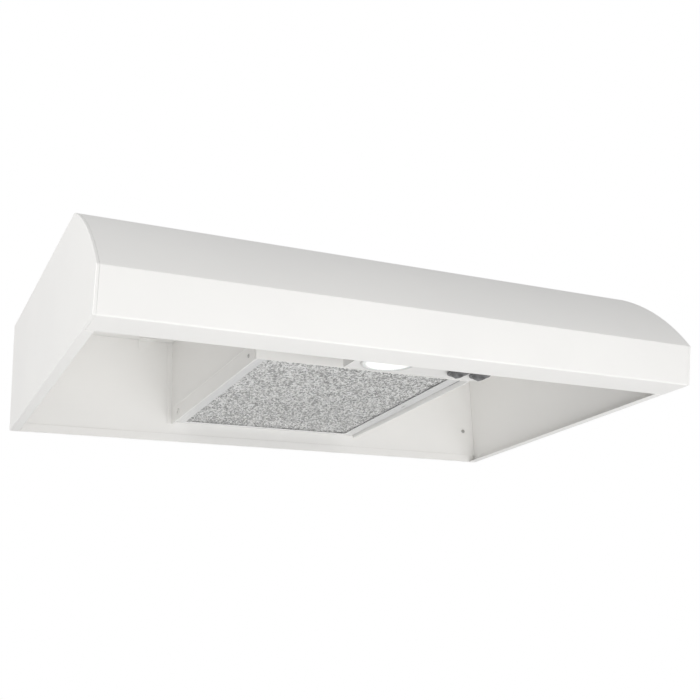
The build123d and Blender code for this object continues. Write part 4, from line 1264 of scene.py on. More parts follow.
# ---------------------------------------------------------------- filter
@dataclass
class FilterPanel:
    """Removable filter: a folded frame with mitred corners round a pack of expanded foil mesh."""

    half: float = 147.5
    front: float = -86.5
    back: float = 251.0
    low: float = 32.5
    thick: float = 9.5
    side_rim: float = 17.0
    back_rim: float = 6.0
    front_rim: float = 14.0
    skin: float = 1.0
    mesh_half: float = 142.5
    lean: float = 3.0
    pivot: Point2 = FILTER_PIVOT
    strand: float = 0.62
    pitch: float = 4.2
    crumple: float = 0.75
    seed: int = 21

    def build(self) -> None:
        """Make the frame, the layers of mesh and the pivot pins."""
        self.frame_piece()
        self.layer("mesh_pack_lower", "filter_mesh_lower", 34.7, self.seed)
        self.layer("mesh_pack_upper", "filter_mesh_upper", 40.0, self.seed + 1)
        self.foil("mesh_pack_core", "filter_mesh_core", 37.0)
        pin = Shape.lathed([(0, 143.5, 0), (3.2, 143.5, 0.5), (3.2, 146.4, 0.2), (2.0, 146.4, 0.1),
                            (2.0, 149.4, 0.4), (0, 149.4, 0)], (0.0, *self.pivot), Axis.X, 40)
        placed(pin.mirrored().joined(pin), "pins_pivot", SCREW_STEEL, "filter", ["filter_pivot_pins"])

    def slope(self, unit: float) -> Matrix:
        """Shear that lets the filter's back edge hang a little below its front, for lengths in a unit.

        Args:
            unit: The length of a millimetre in the shape's own unit.

        Returns:
            The shear.
        """
        fall = self.lean / (self.back - self.front)
        shear = Matrix.Identity(4)
        shear[2][1], shear[2][3] = -fall, fall * self.front * unit
        return shear

    def ring(self, window: bool, grow: float, z: float) -> list[Point3]:
        """Rounded rectangle of the frame's outer edge or of its window, grown by an amount, at a height.

        Args:
            window: Whether it goes round the window.
            grow: How far it is grown.
            z: Its height.

        Returns:
            The points of the ring.
        """
        half, front, back, radius = self.half, self.front, self.back, 4.0
        if window:
            half, front, back, radius = (half - self.side_rim, front + self.front_rim, back - self.back_rim, 5.0)
        corners = rectangle(-half - grow, half + grow, front - grow, back + grow)
        return [(x, y, z) for x, y in rounded(corners, max(radius + grow, 0.2), 8)]

    def frame_piece(self) -> None:
        """Folded channel swept round the edge, with mitre joints, a drain slot and pin holes."""
        low, high, skin = self.low, self.low + self.thick, self.skin
        section = [(True, 0.0, low + skin), (True, 0.0, low + 0.5), (True, 0.15, low + 0.15), (True, 0.5, low),
                   (False, -1.0, low), (False, -0.3, low + 0.3), (False, 0.0, low + 1.0), (False, 0.0, high - 1.0),
                   (False, -0.3, high - 0.3), (False, -1.0, high), (True, 0.5, high), (True, 0.15, high - 0.15),
                   (True, 0.0, high - 0.5), (True, 0.0, high - skin), (False, -skin, high - skin),
                   (False, -skin, low + skin)]
        channel = Shape.loft([self.ring(*station) for station in section], ring=True).moved(self.slope(1.0))
        tools = []
        for side in (-1, 1):
            for edge, rim in ((self.front, self.front_rim), (self.back, -self.back_rim)):
                outer = Vector((side * (self.half + 1), edge - math.copysign(1, rim) * 1.0))
                inner = Vector((side * (self.half - self.side_rim - 0.6), edge + rim * 1.04))
                along = (inner - outer).normalized()
                across = Vector((-along.y, along.x)) * 0.22
                corners = [outer + across, inner + across, inner - across, outer - across]
                tools.append(Shape.prism([tuple(p) for p in corners], low - 1, low + 0.4, Axis.Z)
                             .moved(self.slope(1.0)))
        slot_x = self.half - self.side_rim * 0.45
        tools.append(Shape.prism(rounded(rectangle(slot_x - 0.8, slot_x + 0.8, 64, 76), 0.79, 5), low - 1,
                                 low + skin + 0.5, Axis.Z).moved(self.slope(1.0)))
        tools += [Shape.rod(2.02, (0, *self.pivot), side * 149 - 4, side * 149 + 4, Axis.X) for side in (-1, 1)]
        placed(channel.cut(*tools), "frame_filter", FILTER_RIM, "filter", ["filter_frame"], crease=40.0)

    def layer(self, name: str, node: str, z: float, seed: int) -> None:
        """One sheet of expanded mesh: zigzag strands whose points meet and form diamonds.

        Args:
            name: Name of the piece.
            node: The CAD node it stands for.
            z: Height of its middle.
            seed: Seed of its unevenness.
        """
        wide, long = 2 * self.mesh_half, self.back - self.front - 4.0
        step = self.pitch * 0.62
        rows, columns = int(long / self.pitch), int(wide / step) + 1
        grower = Grower("expanded_mesh", {
            "Rows": ("NodeSocketInt", rows), "Columns": ("NodeSocketInt", columns),
            "Row Pitch": ("NodeSocketFloat", long / rows * MM), "Step": ("NodeSocketFloat", wide / (columns - 1) * MM),
            "Strand": ("NodeSocketFloat", self.strand * MM), "Crumple": ("NodeSocketFloat", self.crumple * MM),
            "Seed": ("NodeSocketInt", seed)})
        tree = grower.tree
        index = tree.sock("GeometryNodeInputIndex")
        half_pitch = grower.input("Row Pitch") * 0.5
        vector = tree.vector
        bare = tree.sock("GeometryNodeMeshLine", {}, {"Count": grower.input("Columns"),
                                                     "Offset": vector(grower.input("Step"), 0.0, 0.0)})
        swing = ((index % 2.0) * 2.0 - 1.0) * half_pitch
        zigzag = tree.sock("GeometryNodeSetPosition", {}, {"Geometry": bare, "Offset": vector(0.0, swing, 0.0)})
        thread = tree.sock("GeometryNodeMeshToCurve", {}, {"Mesh": zigzag})
        starts = tree.sock("GeometryNodeMeshLine", {}, {
            "Count": grower.input("Rows"), "Offset": vector(0.0, grower.input("Row Pitch"), 0.0),
            "Start Location": (-self.mesh_half * MM, (self.front + 2.0 + self.pitch / 2) * MM, z * MM)})
        flip = vector(1.0, 1.0 - (index % 2.0) * 2.0, 1.0)
        rows_made = tree.sock("GeometryNodeInstanceOnPoints", {}, {"Points": starts, "Instance": thread,
                                                                  "Scale": flip})
        loose = tree.sock("GeometryNodeRealizeInstances", {}, {0: rows_made})
        reach = grower.input("Crumple")
        shake = tree.sock("FunctionNodeRandomValue", {"data_type": "FLOAT_VECTOR"},
                          {0: vector(0.0 - reach, 0.0 - reach, 0.0 - reach * 0.8), 1: vector(reach, reach, reach * 0.8),
                           "Seed": grower.input("Seed")})
        uneven = tree.sock("GeometryNodeSetPosition", {}, {"Geometry": loose, "Offset": shake})
        section = tree.sock("GeometryNodeCurvePrimitiveCircle", {}, {"Resolution": 3,
                                                                     "Radius": grower.input("Strand")})
        strands = tree.sock("GeometryNodeCurveToMesh", {}, {"Curve": uneven, "Profile Curve": section,
                                                            "Fill Caps": True})
        mesh = grower.grown(strands, FILTER_MESH)
        mesh.transform(self.slope(MM))
        dressed(mesh, name, FILTER_MESH, "filter", [node])

    def foil(self, name: str, node: str, z: float) -> None:
        """Crumpled sheets of foil in the middle of the pack.

        Args:
            name: Name of the piece.
            node: The CAD node it stands for.
            z: Height of its middle.
        """
        wide, long = 2 * self.mesh_half, self.back - self.front - 4.0
        grower = Grower("crumpled_foil", {
            "Width": ("NodeSocketFloat", wide * MM), "Length": ("NodeSocketFloat", long * MM),
            "Crumple": ("NodeSocketFloat", 1.6 * MM), "Cell": ("NodeSocketFloat", 320.0)})
        tree = grower.tree
        grid = tree.sock("GeometryNodeMeshGrid", {}, {"Size X": grower.input("Width"), "Size Y": grower.input("Length"),
                                                      "Vertices X": 150, "Vertices Y": 175})
        place = tree.sock("GeometryNodeInputPosition")
        ripple = tree.sock("ShaderNodeTexNoise", {}, {"Vector": place, "Scale": grower.input("Cell"), "Detail": 2.0})
        lift = tree.vector(0.0, 0.0, (ripple - 0.5) * grower.input("Crumple") * 2.0)
        rough = tree.sock("GeometryNodeSetPosition", {}, {"Geometry": grid, "Offset": lift})
        middle = Vector((0.0, (self.front + self.back) / 2, z)) * MM
        moved = tree.sock("GeometryNodeTransform", {}, {"Geometry": rough, "Translation": middle})
        mesh = grower.grown(moved, FILTER_CORE)
        sheet = Shape()
        sheet.bm.from_mesh(mesh)
        sheet.through("SOLIDIFY", {"thickness": 0.15 * MM, "offset": 0.0}).moved(self.slope(MM))
        dressed(sheet.as_mesh(name), name, FILTER_CORE, "filter", [node])


# ---------------------------------------------------------------- fan, motor and duct
@dataclass
class Blower:
    """Axial fan on a hanging motor, the duct collar above it and the two damper flaps."""

    centre_y: float = FAN_Y
    fan_z: float = 126.0
    blades: int = 5
    hub_radius: float = 15.0
    tip_radius: float = 84.0
    half_span: float = 27.0
    pitch: float = 24.0
    motor_radius: float = 39.0
    motor_low: float = 52.0
    motor_joint: float = 88.0
    bracket_z: float = 98.0
    collar_radius: float = 88.4
    collar_gauge: float = 0.8
    flange_radius: float = 106.0
    deck_z: float = 152.4
    collar_top: float = 184.4
    damper_z: float = 172.0
    flap_radius: float = 86.6

    def build(self) -> None:
        """Make the fan, the motor, the collar and the damper."""
        self.fan()
        self.motor()
        self.collar()
        self.damper()

    def blade(self) -> Shape:
        """One cambered and pitched blade of even thickness, rounded at its tip corners.

        Returns:
            The blade that points along +X.
        """
        across, along = 16, 12
        top, bottom = [], []
        for i in range(along + 1):
            share = i / along
            radius = self.hub_radius - 2.5 + (self.tip_radius - self.hub_radius + 2.3) * share
            span = math.radians(self.half_span * (0.72 + 0.28 * share)) * (1 - 0.18 * max(share - 0.8, 0) / 0.2)
            row_top, row_bottom = [], []
            for j in range(across + 1):
                turn = span * (2 * j / across - 1)
                x, y = radius * math.cos(turn), radius * math.sin(turn)
                camber = 2.2 * (1 - (2 * j / across - 1) ** 2) * share
                z = y * math.tan(math.radians(self.pitch)) + camber
                row_top.append((x, y, z + 0.5))
                row_bottom.append((x, y, z - 0.5))
            top.append(row_top)
            bottom.append(row_bottom)
        shape = Shape()
        grid = [[[shape.bm.verts.new(point) for point in row] for row in side] for side in (top, bottom)]
        for i in range(along):
            for j in range(across):
                for side, order in ((grid[0], 1), (grid[1], -1)):
                    quad = (side[i][j], side[i + 1][j], side[i + 1][j + 1], side[i][j + 1])
                    shape.bm.faces.new(quad[::order])
        rim = ([(i, 0) for i in range(along)] + [(along, j) for j in range(across)]
               + [(i, across) for i in range(along, 0, -1)] + [(0, j) for j in range(across, 0, -1)])
        for here, after in zip(rim, rim[1:] + rim[:1]):
            a, b = (grid[0][here[0]][here[1]], grid[0][after[0]][after[1]])
            c, d = (grid[1][after[0]][after[1]], grid[1][here[0]][here[1]])
            shape.bm.faces.new((d, c, b, a))
        return shape.tidied().eased(0.3, 2, 50)

    def fan(self) -> None:
        """Hub with its blades, the shaft, the rotor and the nut."""
        fan = Shape.lathed([(4.02, -12, 0.4), (self.hub_radius, -12, 1.0), (self.hub_radius, 10, 3.0),
                            (4.02, 10, 0.4)], ORIGIN, arcs=5)
        blade = self.blade()
        for index in range(self.blades):
            fan.joined(blade.copied().moved(Matrix.Rotation(math.tau * index / self.blades, 4, "Z")))
        fan.moved(Matrix.Translation((0, self.centre_y, self.fan_z)))
        placed(fan, "fan_wheel", FAN_ALUMINIUM, "fan", ["fan_blade"])
        centre = (0.0, self.centre_y, 0.0)
        placed(Shape.rod(4.0, centre, self.motor_low + 1, self.fan_z + 18, edge=0.8), "shaft_motor", SCREW_STEEL,
               "fan", ["motor_shaft"])
        rotor = [(4.02, 60, 0.3), (20, 60, 0.3), (20, 82, 0.3), (4.02, 82, 0.3)]
        placed(Shape.lathed(rotor, centre, steps=72, arcs=2), "rotor_core", CORE_STEEL, "fan", ["motor_rotor"])
        softened("blade_nut", "nut_blade", SCREW_STEEL, 0.5, "fan")

    def motor(self) -> None:
        """Motor housing with vents, its core, the bracket and the screws."""
        centre, radius, low, joint = (0.0, self.centre_y, 0.0), self.motor_radius, self.motor_low, self.motor_joint
        can = Shape.lathed([(4.05, low, 0.3), (radius, low, 5.0), (radius, joint, 0.5), (radius - 2, joint, 0.3),
                            (radius - 2, low + 3, 3.0), (4.05, low + 3, 0.3)], centre, steps=96, arcs=5)
        vents = []
        for index in range(10):
            vent = Shape.prism(rounded(rectangle(22, 32, -2, 2), 1.9, 5), low - 1, low + 5, Axis.Z)
            vent.moved(Matrix.Translation(centre) @ Matrix.Rotation(math.tau * index / 10, 4, "Z"))
            vents.append(vent)
        vents.append(Shape.rod(3.2, (0, self.centre_y, 74), 30, 50, Axis.X))
        placed(can.cut(*vents).eased(0.25), "can_motor", MOTOR_PAINT, "hood", ["motor_can"])
        top = self.bracket_z - 0.05
        cap = Shape.lathed([(4.05, top - 3, 0.3), (radius - 2, top - 3, 2.0), (radius - 2, joint + 0.05, 0.3),
                            (radius, joint + 0.05, 0.5), (radius, top, 4.0), (4.05, top, 0.3)], centre, steps=96,
                           arcs=5)
        cap.cut(*[Shape.rod(2.0, (x, self.centre_y, 0), 90, top + 1) for x in (-26, 26)])
        placed(cap, "cap_motor", MOTOR_PAINT, "hood", ["motor_end_cap"])
        softened("motor_stator", "stator_core", CORE_STEEL, 0.3)
        softened("motor_bracket", "bracket_motor", ZINC_PLATE, 0.3)
        seats = [Screw((x, self.centre_y, self.bracket_z + 1.55), (0.0, 0.0, 1.0)) for x in (-26, 26)]
        ScrewSet("screws_motor", ["motor_screws"], seats, shank=4.0, seed=5).build(SCREW_STEEL)

    def collar(self) -> None:
        """Duct collar with a screw flange, a swaged bead, a lap seam and damper stops."""
        outer, gauge, deck, top = self.collar_radius, self.collar_gauge, self.deck_z, self.collar_top
        inner = outer - gauge
        outside = [(self.flange_radius, deck + 0.02, 0.4), (self.flange_radius, deck + 1.0, 0.4),
                   (outer + 0.02, deck + 1.0, 1.8), (outer, deck + 6.5, 0.8), (outer - 0.6, deck + 7.6, 0.8),
                   (outer - 0.6, deck + 9.4, 0.8), (outer, deck + 10.5, 0.8), (outer, top, 0.38)]
        inside = [(inner, top, 0.38), (inner, deck + 10.5, 0.8), (inner - 0.6, deck + 9.4, 0.8),
                  (inner - 0.6, deck + 7.6, 0.8), (inner, deck + 6.5, 0.8), (inner, deck + 0.02, 1.2)]
        tube = Shape.lathed(outside + inside, (0.0, self.centre_y, 0.0), steps=144, arcs=4)
        tools = [Shape.rod(2.1, (*self.spoke(angle, 98.0), 0), deck - 1, deck + 3) for angle in (45, 135, 225, 315)]
        tools.append(Shape.rod(1.6, (0, self.centre_y, self.damper_z), -outer - 2, outer + 2, Axis.X))
        tools.append(Shape.box((-0.25, 0.25), (self.centre_y + outer - 0.25, self.centre_y + outer + 1),
                               (deck + 2.5, top + 1)))
        tube.cut(*tools)
        stop_top = self.damper_z - 3.0
        for angle in (35, 145, 215, 325):
            stop = Shape.box((inner - 4, inner + 0.4), (-4, 4), (stop_top - 1.5, stop_top)).eased(0.35)
            stop.moved(Matrix.Translation((0, self.centre_y, 0)) @ Matrix.Rotation(math.radians(angle), 4, "Z"))
            tube.joined(stop)
        placed(tube, "collar_duct", ZINC_PLATE, "hood", ["duct_collar"])
        seats = [Screw((*self.spoke(angle, 98.0), deck + 1.05), (0.0, 0.0, 1.0)) for angle in (45, 135, 225, 315)]
        ScrewSet("screws_collar", ["collar_screws"], seats, seed=9).build(SCREW_STEEL)

    def spoke(self, angle: float, radius: float) -> Point2:
        """Place at an angle in degrees and a radius from the fan's axis."""
        turn = math.radians(angle)
        return (radius * math.cos(turn), self.centre_y + radius * math.sin(turn))

    def damper(self) -> None:
        """Rod across the collar and two half-moon flaps that hinge on it."""
        centre = (0.0, self.centre_y, self.damper_z)
        reach = self.collar_radius - 0.2
        placed(Shape.rod(1.59, centre, -reach, reach, Axis.X, 0.4), "rod_damper", SCREW_STEEL, "hood",
               ["damper_rod"])
        own, other = ((-70, -50), (30, 50)), ((-50, -30), (50, 70))
        rear = self.flap(own, other)
        front = self.flap([(-b, -a) for a, b in other], [(-b, -a) for a, b in own])
        front.moved(Matrix.Rotation(math.pi, 4, "Z"))
        for shape, side in ((rear, "rear"), (front, "front")):
            shape.moved(Matrix.Translation(centre))
            placed(shape, f"flap_{side}", ZINC_PLATE, f"damper_{side}", [f"damper_flap_{side}"])

    def flap(self, own: Sequence[Point2], other: Sequence[Point2]) -> Shape:
        """Half-moon flap behind the rod with its knuckles, cut-outs for the other's, and a pressed rib.

        Args:
            own: Where its knuckles sit along the rod.
            other: Where the other flap's knuckles sit.

        Returns:
            The flap as it lies at rest.
        """
        edge = 0.45
        low, gauge = -2.7, 0.6
        outline: list[Point2] = []
        for x0, x1 in sorted(other, reverse=True):
            outline += [(x1 + 0.5, edge), (x1 + 0.5, 3.2), (x0 - 0.5, 3.2), (x0 - 0.5, edge)]
        start = math.degrees(math.asin(3.2 / self.flap_radius))
        rim = arc(self.flap_radius, start, 180 - start, 72)
        outline = [(-86.0, edge), *reversed(outline), (86.0, edge)] + rim
        plate = Shape.prism(outline, low, low + gauge, Axis.Z).eased(0.15)
        rib = [[(x, y, z) for x, y in arc(radius, 14, 166, 60) + arc(radius - width, 166, 14, 60)]
               for radius, width, z in ((76.0, 5.0, low + gauge - 0.05), (75.2, 3.4, low + gauge + 0.5))]
        plate.joined(Shape.loft(rib).eased(0.2))
        barrel = rounded([(1.65, -1), (2.7, -1), (2.7, 1), (1.65, 1)], 0.2, 2)
        for x0, x1 in own:
            half = (x1 - x0) / 2 - 0.3
            profile = [(r, h * half) for r, h in barrel]
            plate.joined(Shape.turned(profile, ((x0 + x1) / 2, 0.0, 0.0), Axis.X, 32))
        return plate


# ---------------------------------------------------------------- controls and lamp
@dataclass
class ControlPanel:
    """Panel behind the front lip with its straps, switches and knobs."""

    left: float = -52.0
    right: float = 140.0
    front: float = -197.4
    back: float = -123.0
    level: float = 15.0
    gauge: float = 1.0
    flange_top: float = 48.0
    lamp: Point3 = LAMP_CENTRE
    knob_x: Point2 = (88.5, 120.5)
    knob_y: float = -156.0
    knob_turns: Point2 = (57.0, 61.0)
    bore: float = 3.02
    grip_points: int = 56
    bodies: Sequence[str] = ("fan", "light")

    def build(self) -> None:
        """Make the panel and everything that it carries except the lamp."""
        self.panel()
        softened("panel_straps", "straps_panel", WHITE_COAT, 0.3)
        softened("switch_nuts", "nuts_switch", SCREW_STEEL, 0.25)
        for name, x, turn in zip(self.bodies, self.knob_x, self.knob_turns):
            self.switch(name, x)
            self.knob(name, x, turn)

    def panel(self) -> None:
        """Folded panel with a front flange, a tall back flange and two end flanges."""
        front, back = self.front + self.gauge, self.back - self.gauge
        path = rounded([(front, 3.0), (front, self.level), (back, self.level), (back, self.flange_top)],
                       [0, 0.8, 1.8, 0], 5, closed=False)
        sheet = Shape.prism(sheet_outline(path, self.gauge), self.left, self.right, Axis.X)
        holes = [Shape.rod(30.0, (*self.lamp[:2], 0), 10, 20, steps=96)]
        holes += [Shape.rod(4.8, (x, self.knob_y, 0), 10, 20) for x in self.knob_x]
        sheet.cut(*holes).eased(0.22)
        ends = [Shape.box((x, x + 1), (self.front + 0.5, self.back - 0.5), (self.level + 0.4, self.level + 12))
                for x in (self.left, self.right - 1)]
        # The panel wears the darker copy of the white coat, painted shade for its place behind the lip.
        placed(sheet.joined(*[end.eased(0.22) for end in ends]), "panel_controls", PAINTED_SHADE_COAT, "hood",
               ["control_panel"])

    def switch(self, name: str, x: float) -> None:
        """Rotary switch with a threaded bush, and its shaft.

        Args:
            name: Start of the names of its pieces.
            x: Where it sits along the width.
        """
        base, top = self.level + 1.05, 34.0
        body, seam, core = (
            Shape.prism(rounded(rectangle(x - half, x + half, self.knob_y - half, self.knob_y + half), half - 10, 5),
                        low, high, Axis.Z)
            for half, low, high in ((13, base, top), (13.4, base + 7.4, base + 7.8), (12.7, base + 7.3, base + 7.9)))
        body.eased(0.5).cut(seam).joined(core)
        thread = [(3.05, -3.2), (4.2, -3.2)]
        for turn in range(8):
            thread += [(4.7, -3.0 + turn * 0.5), (4.35, -2.75 + turn * 0.5)]
        thread += [(4.7, 1.0), (3.05, 1.0)]
        bush = Shape.turned(thread, (x, self.knob_y, self.level + 1), steps=40)
        placed(body.joined(bush), f"{name}_switch_case", SWITCH_PLASTIC, "hood", [f"{name}_switch"])
        placed(Shape.rod(3.0, (x, self.knob_y, 0), 9.4, self.level + 10, edge=0.3), f"{name}_spindle", SHAFT_NYLON,
               f"{name}_control", [f"{name}_switch_shaft"])

    def knob(self, name: str, x: float, turn: float) -> None:
        """Knob with a fluted skirt, a raised boss and a waisted bar grip that slopes down to its pointer end.

        Args:
            name: Start of the names of its pieces.
            x: Where it sits along the width.
            turn: Its turn at rest in degrees.
        """
        skirt = []
        for z, radius, depth in ((13.1, 12.6, 0.0), (13.1, 13.2, 0.1), (12.8, 13.5, 0.35), (11.9, 13.5, 0.35),
                                 (11.3, 13.2, 0.3), (11.0, 12.4, 0.0)):
            loop = []
            for step in range(144):
                angle = math.tau * step / 144
                reach = radius - depth * (0.5 - 0.5 * math.cos(24 * angle))
                loop.append((reach * math.cos(angle), reach * math.sin(angle), z))
            skirt.append(loop)
        knob = Shape.loft(skirt)
        boss = Shape.lathed([(0, 9.6, 0), (8.4, 9.6, 1.0), (10.6, 11.3, 0.2), (0, 11.3, 0)], ORIGIN, arcs=5)
        knob.cut(Shape.rod(9.6, ORIGIN, 12.5, 14.0), Shape.rod(self.bore, ORIGIN, 9.0, 12.8))
        knob.joined(boss.cut(Shape.rod(self.bore, ORIGIN, 7.0, 12.0)))
        grip = []
        for z, shrink, reach in ((11.2, 0.0, 12.4), (9.0, 0.2, 7.6), (7.0, 0.4, 3.0), (5.9, 0.7, 0.6),
                                 (5.5, 1.2, -0.6), (5.4, 2.0, -1.8)):
            grip.append(self.grip_loop(4.5 - shrink, 12.4 - shrink, reach, z))
        bar = Shape.loft(grip)
        bar.cut(Shape.box((-0.45, 0.45), (-9.0, -4.0), (4.5, 5.8)), Shape.rod(self.bore, ORIGIN, 9.3, 12.0))
        knob.joined(bar)
        knob.moved(Matrix.Translation((x, self.knob_y, 0)) @ Matrix.Rotation(math.radians(-turn), 4, "Z"))
        placed(knob, f"{name}_knob_moulding", KNOB_PLASTIC, f"{name}_control", [f"{name}_knob"], crease=42.0)

    def grip_loop(self, half_width: float, half_length: float, reach: float, z: float) -> list[Point3]:
        """Loop round the bar grip, drawn in a little at its middle, with its pointer end at a reach.

        Args:
            half_width: Half its width.
            half_length: Distance from the axis to its plain end.
            reach: Distance from the axis to its pointer end.
            z: Its height.

        Returns:
            The points of the loop.
        """
        outline = rounded(rectangle(-half_width, half_width, -half_length, half_length), half_width * 0.62, 6)
        fine: list[Point2] = []
        for here, after in zip(outline, outline[1:] + outline[:1]):
            parts = max(1, round(math.dist(here, after) / 1.6))
            fine += [tuple(here[k] + (after[k] - here[k]) * part / parts for k in (0, 1)) for part in range(parts)]
        made = []
        while len(fine) < self.grip_points:
            gaps = [math.dist(a, b) for a, b in zip(fine, fine[1:] + fine[:1])]
            widest = gaps.index(max(gaps))
            a, b = fine[widest], fine[(widest + 1) % len(fine)]
            fine.insert(widest + 1, ((a[0] + b[0]) / 2, (a[1] + b[1]) / 2))
        for a, b in fine[:self.grip_points]:
            pull = 1 - 0.1 * math.exp(-(b / 6.0) ** 2)
            made.append((a * pull, (b + half_length) * (reach + half_length) / (2 * half_length) - half_length, z))
        return made


@dataclass
class Lamp:
    """Round work lamp: bezel, diffuser, reflector, holder and bulb."""

    centre: Point3 = LAMP_CENTRE
    level: float = 15.0
    lens_radius: float = 33.0
    bezel_radius: float = 35.2
    ball: float = 190.0

    def build(self) -> None:
        """Make the lamp's pieces."""
        self.bezel()
        self.lens()
        self.upper_parts()

    def bezel(self) -> None:
        """Thin ring round the lens with a release notch."""
        low, high = self.level - 1.6, self.level - 0.02
        ring = Shape.lathed([(self.lens_radius + 0.1, low + 0.25, 0.15), (self.lens_radius + 0.7, low, 0.3),
                             (self.bezel_radius - 0.5, low + 0.2, 0.5), (self.bezel_radius, low + 0.9, 0.3),
                             (self.bezel_radius, high, 0.1), (self.lens_radius + 0.1, high, 0.1)],
                            self.centre, steps=128)
        notch = Shape.rod(1.1, (self.centre[0] - self.bezel_radius + 1.6, self.centre[1], 0), low - 1, low + 1.2)
        placed(ring.cut(notch), "bezel_lens", BEZEL_GREY, "hood", ["lens_bezel"])

    def lens(self) -> None:
        """Shallow dome with stepped rings near its rim and a spigot behind."""
        foot = self.level - 3.4
        dome = []
        for step in range(25):
            radius = self.lens_radius * 0.985 * step / 24
            rise = self.ball - math.sqrt(self.ball ** 2 - radius ** 2)
            step_out = 0.18 if step in (20, 22) else 0.0
            dome.append((radius, foot + rise + step_out))
        rim = [(self.lens_radius, self.level - 0.35), (self.lens_radius, self.level - 0.02), (29.9, self.level - 0.02),
               (29.9, self.level + 4), (28.4, self.level + 4), (28.4, self.level - 0.6), (0.0, self.level - 0.6)]
        placed(Shape.turned(dome + rim, self.centre, steps=128), "lens_lamp", LENS_DIFFUSER, "hood", ["lamp_lens"],
               crease=45.0)

    def upper_parts(self) -> None:
        """Reflector bowl, ceramic holder and bulb above the panel."""
        base = self.level + 4.1
        bowl = [(30.0, base, 0.2), (36.0, base, 0.4), (36.0, base + 1, 0.4), (32.0, base + 1, 1.5),
                (15.0, base + 28, 0.3), (14.0, base + 28, 0.3), (30.6, base + 1, 1.2), (30.0, base + 0.6, 0.1)]
        placed(Shape.lathed(bowl, self.centre, steps=96, arcs=4), "reflector_bowl", REFLECTOR_METAL, "hood",
               ["lamp_reflector"])
        foot = self.level + 32.2
        holder = [(8.1, foot, 0.3), (16.5, foot, 0.6), (16.5, foot + 3, 0.6), (12, foot + 3, 0.8), (12, 66.0, 1.2),
                  (0, 66.0, 0), (0, foot + 14, 0), (8.1, foot + 14, 0.3)]
        placed(Shape.lathed(holder, self.centre, steps=72, arcs=4), "holder_lamp", HOLDER_CERAMIC, "hood",
               ["lampholder"])
        centre = foot - 12
        glass = [(0.0, centre - 10.5)]
        for step in range(1, 14):
            turn = math.radians(-90 + 138 * step / 13)
            glass.append((10.5 * math.cos(turn), centre + 10.5 * math.sin(turn)))
        glass += [(7.2, foot - 3.5), (7.9, foot - 1.5), (7.9, foot + 13), (0.0, foot + 13)]
        placed(Shape.turned(glass, self.centre, steps=64), "bulb_lamp", BULB_GLASS, "hood", ["lamp_bulb"],
               crease=50.0)


# ---------------------------------------------------------------- studio
@dataclass(frozen=True)
class SoftBox:
    """Square area lamp: where it stands, what it faces, its side in metres and its power in watts."""

    name: str
    place: Point3
    target: Point3
    size: float
    power: float

    def build(self) -> None:
        """Add the lamp to the scene."""
        data = bpy.data.lights.new(self.name, "AREA")
        data.size, data.energy = self.size, self.power
        lamp = bpy.data.objects.new(self.name, data)
        lamp.location = self.place
        lamp.visible_camera = False
        lamp.rotation_euler = (Vector(self.target) - Vector(self.place)).to_track_quat("-Z", "Y").to_euler()
        bpy.context.scene.collection.objects.link(lamp)


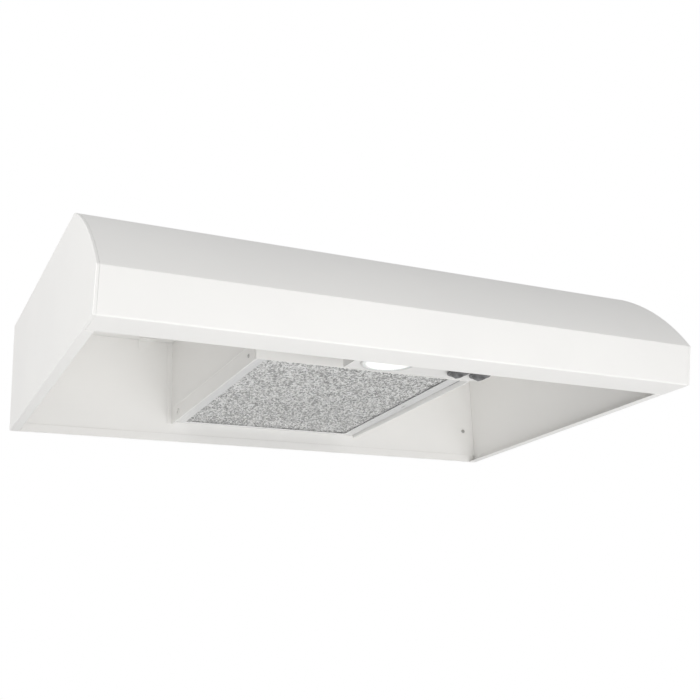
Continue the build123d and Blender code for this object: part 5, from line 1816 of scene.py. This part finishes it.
@dataclass
class Studio:
    """Camera, white surroundings, pale floor and soft lamps."""

    eye: Point3 = (-0.58464, -1.18068, -0.34521)
    aim_degrees: Point3 = (105.164, 2.003, -25.838)
    lens: float = 53.103
    shift: Point2 = (0.01643, 0.07069)
    floor_z: float = -1.25
    above: float = 0.79
    horizon: float = 0.27
    below: float = 0.4
    floor_glow: float = 0.04
    boxes: Sequence[SoftBox] = (
        SoftBox("low_key", (-0.2, -1.35, -0.9), (0.0, 0.1, 0.05), 1.2, 10.5),
        SoftBox("right_key", (0.75, -1.25, -0.9), (0.0, 0.1, 0.05), 1.2, 5.7),
        SoftBox("left_fill", (-3.0, -0.4, 0.7), (0.0, 0.0, 0.08), 1.6, 42.0))

    def build(self) -> None:
        """Make everything that isn't part of the hood."""
        self.camera()
        self.surroundings()
        self.floor()
        for box in self.boxes:
            box.build()

    def camera(self) -> None:
        """Camera below and to the left of the hood's front."""
        data = bpy.data.cameras.new("camera")
        data.lens, data.sensor_width = self.lens, 36.0
        data.shift_x, data.shift_y = self.shift
        data.clip_start, data.clip_end = 0.02, 60.0
        camera = bpy.data.objects.new("camera", data)
        camera.location = self.eye
        camera.rotation_euler = [math.radians(angle) for angle in self.aim_degrees]
        bpy.context.scene.collection.objects.link(camera)
        bpy.context.scene.camera = camera

    def surroundings(self) -> None:
        """White all round to the camera, and brighter from the sides and below than from above to the hood."""
        world = bpy.data.worlds.new("studio")
        bpy.context.scene.world = world
        world.use_nodes = True
        tree = Tree(world.node_tree)
        up = tree.sock("ShaderNodeSeparateXYZ", {}, {0: tree.sock("ShaderNodeTexCoord", output="Generated")}, 2)
        share = up * 0.5 + 0.5
        light = tree.sock("ShaderNodeValToRGB", {"stops": [(0.0, (self.below,) * 3), (1.0, (self.above,) * 3),
                                                           (0.5, (self.horizon,) * 3)]}, {0: share})
        soft = tree.sock("ShaderNodeBackground", {}, {"Color": light, "Strength": 1.0})
        seen = tree.sock("ShaderNodeBackground", {}, {"Color": (1.0, 1.0, 1.0, 1.0), "Strength": 1.0})
        camera_ray = tree.sock("ShaderNodeLightPath", output="Is Camera Ray")
        mixed = tree.sock("ShaderNodeMixShader", {}, {0: camera_ray, 1: soft, 2: seen})
        tree.node("ShaderNodeOutputWorld", {}, {"Surface": mixed})
        bpy.context.scene.view_settings.view_transform = "Standard"

    def floor(self) -> None:
        """Wide pale floor with a trace of grain."""
        shape = Shape.box((-9000, 9000), (-9000, 9000), (self.floor_z * 1000 - 20, self.floor_z * 1000))
        shape.moved(Matrix.Scale(MM, 4))
        mesh = shape.as_mesh("floor")
        material = bpy.data.materials.new("floor_paper")
        material.use_nodes = True
        tree = Tree(material.node_tree)
        grain = tree.noise(60.0, 3.0)
        tree.surface(Base_Color=tree.blend(grain, (0.8, 0.8, 0.8), (0.82, 0.82, 0.82)), Roughness=0.8,
                     Emission_Color=(1.0, 1.0, 1.0), Emission_Strength=self.floor_glow)
        mesh.materials.append(material)
        floor = bpy.data.objects.new("floor", mesh)
        bpy.context.scene.collection.objects.link(floor)


def main() -> None:
    """Build the hood's sub-assemblies, then the studio."""
    logging.basicConfig(level=logging.INFO, format="%(name)s: %(message)s")
    for part in (Canopy(), Plenum(), FilterPanel(), Blower(), ControlPanel(), Lamp()):
        LOG.info("building %s", type(part).__name__)
        part.build()
    Studio().build()


if __name__ == "__main__":
    main()
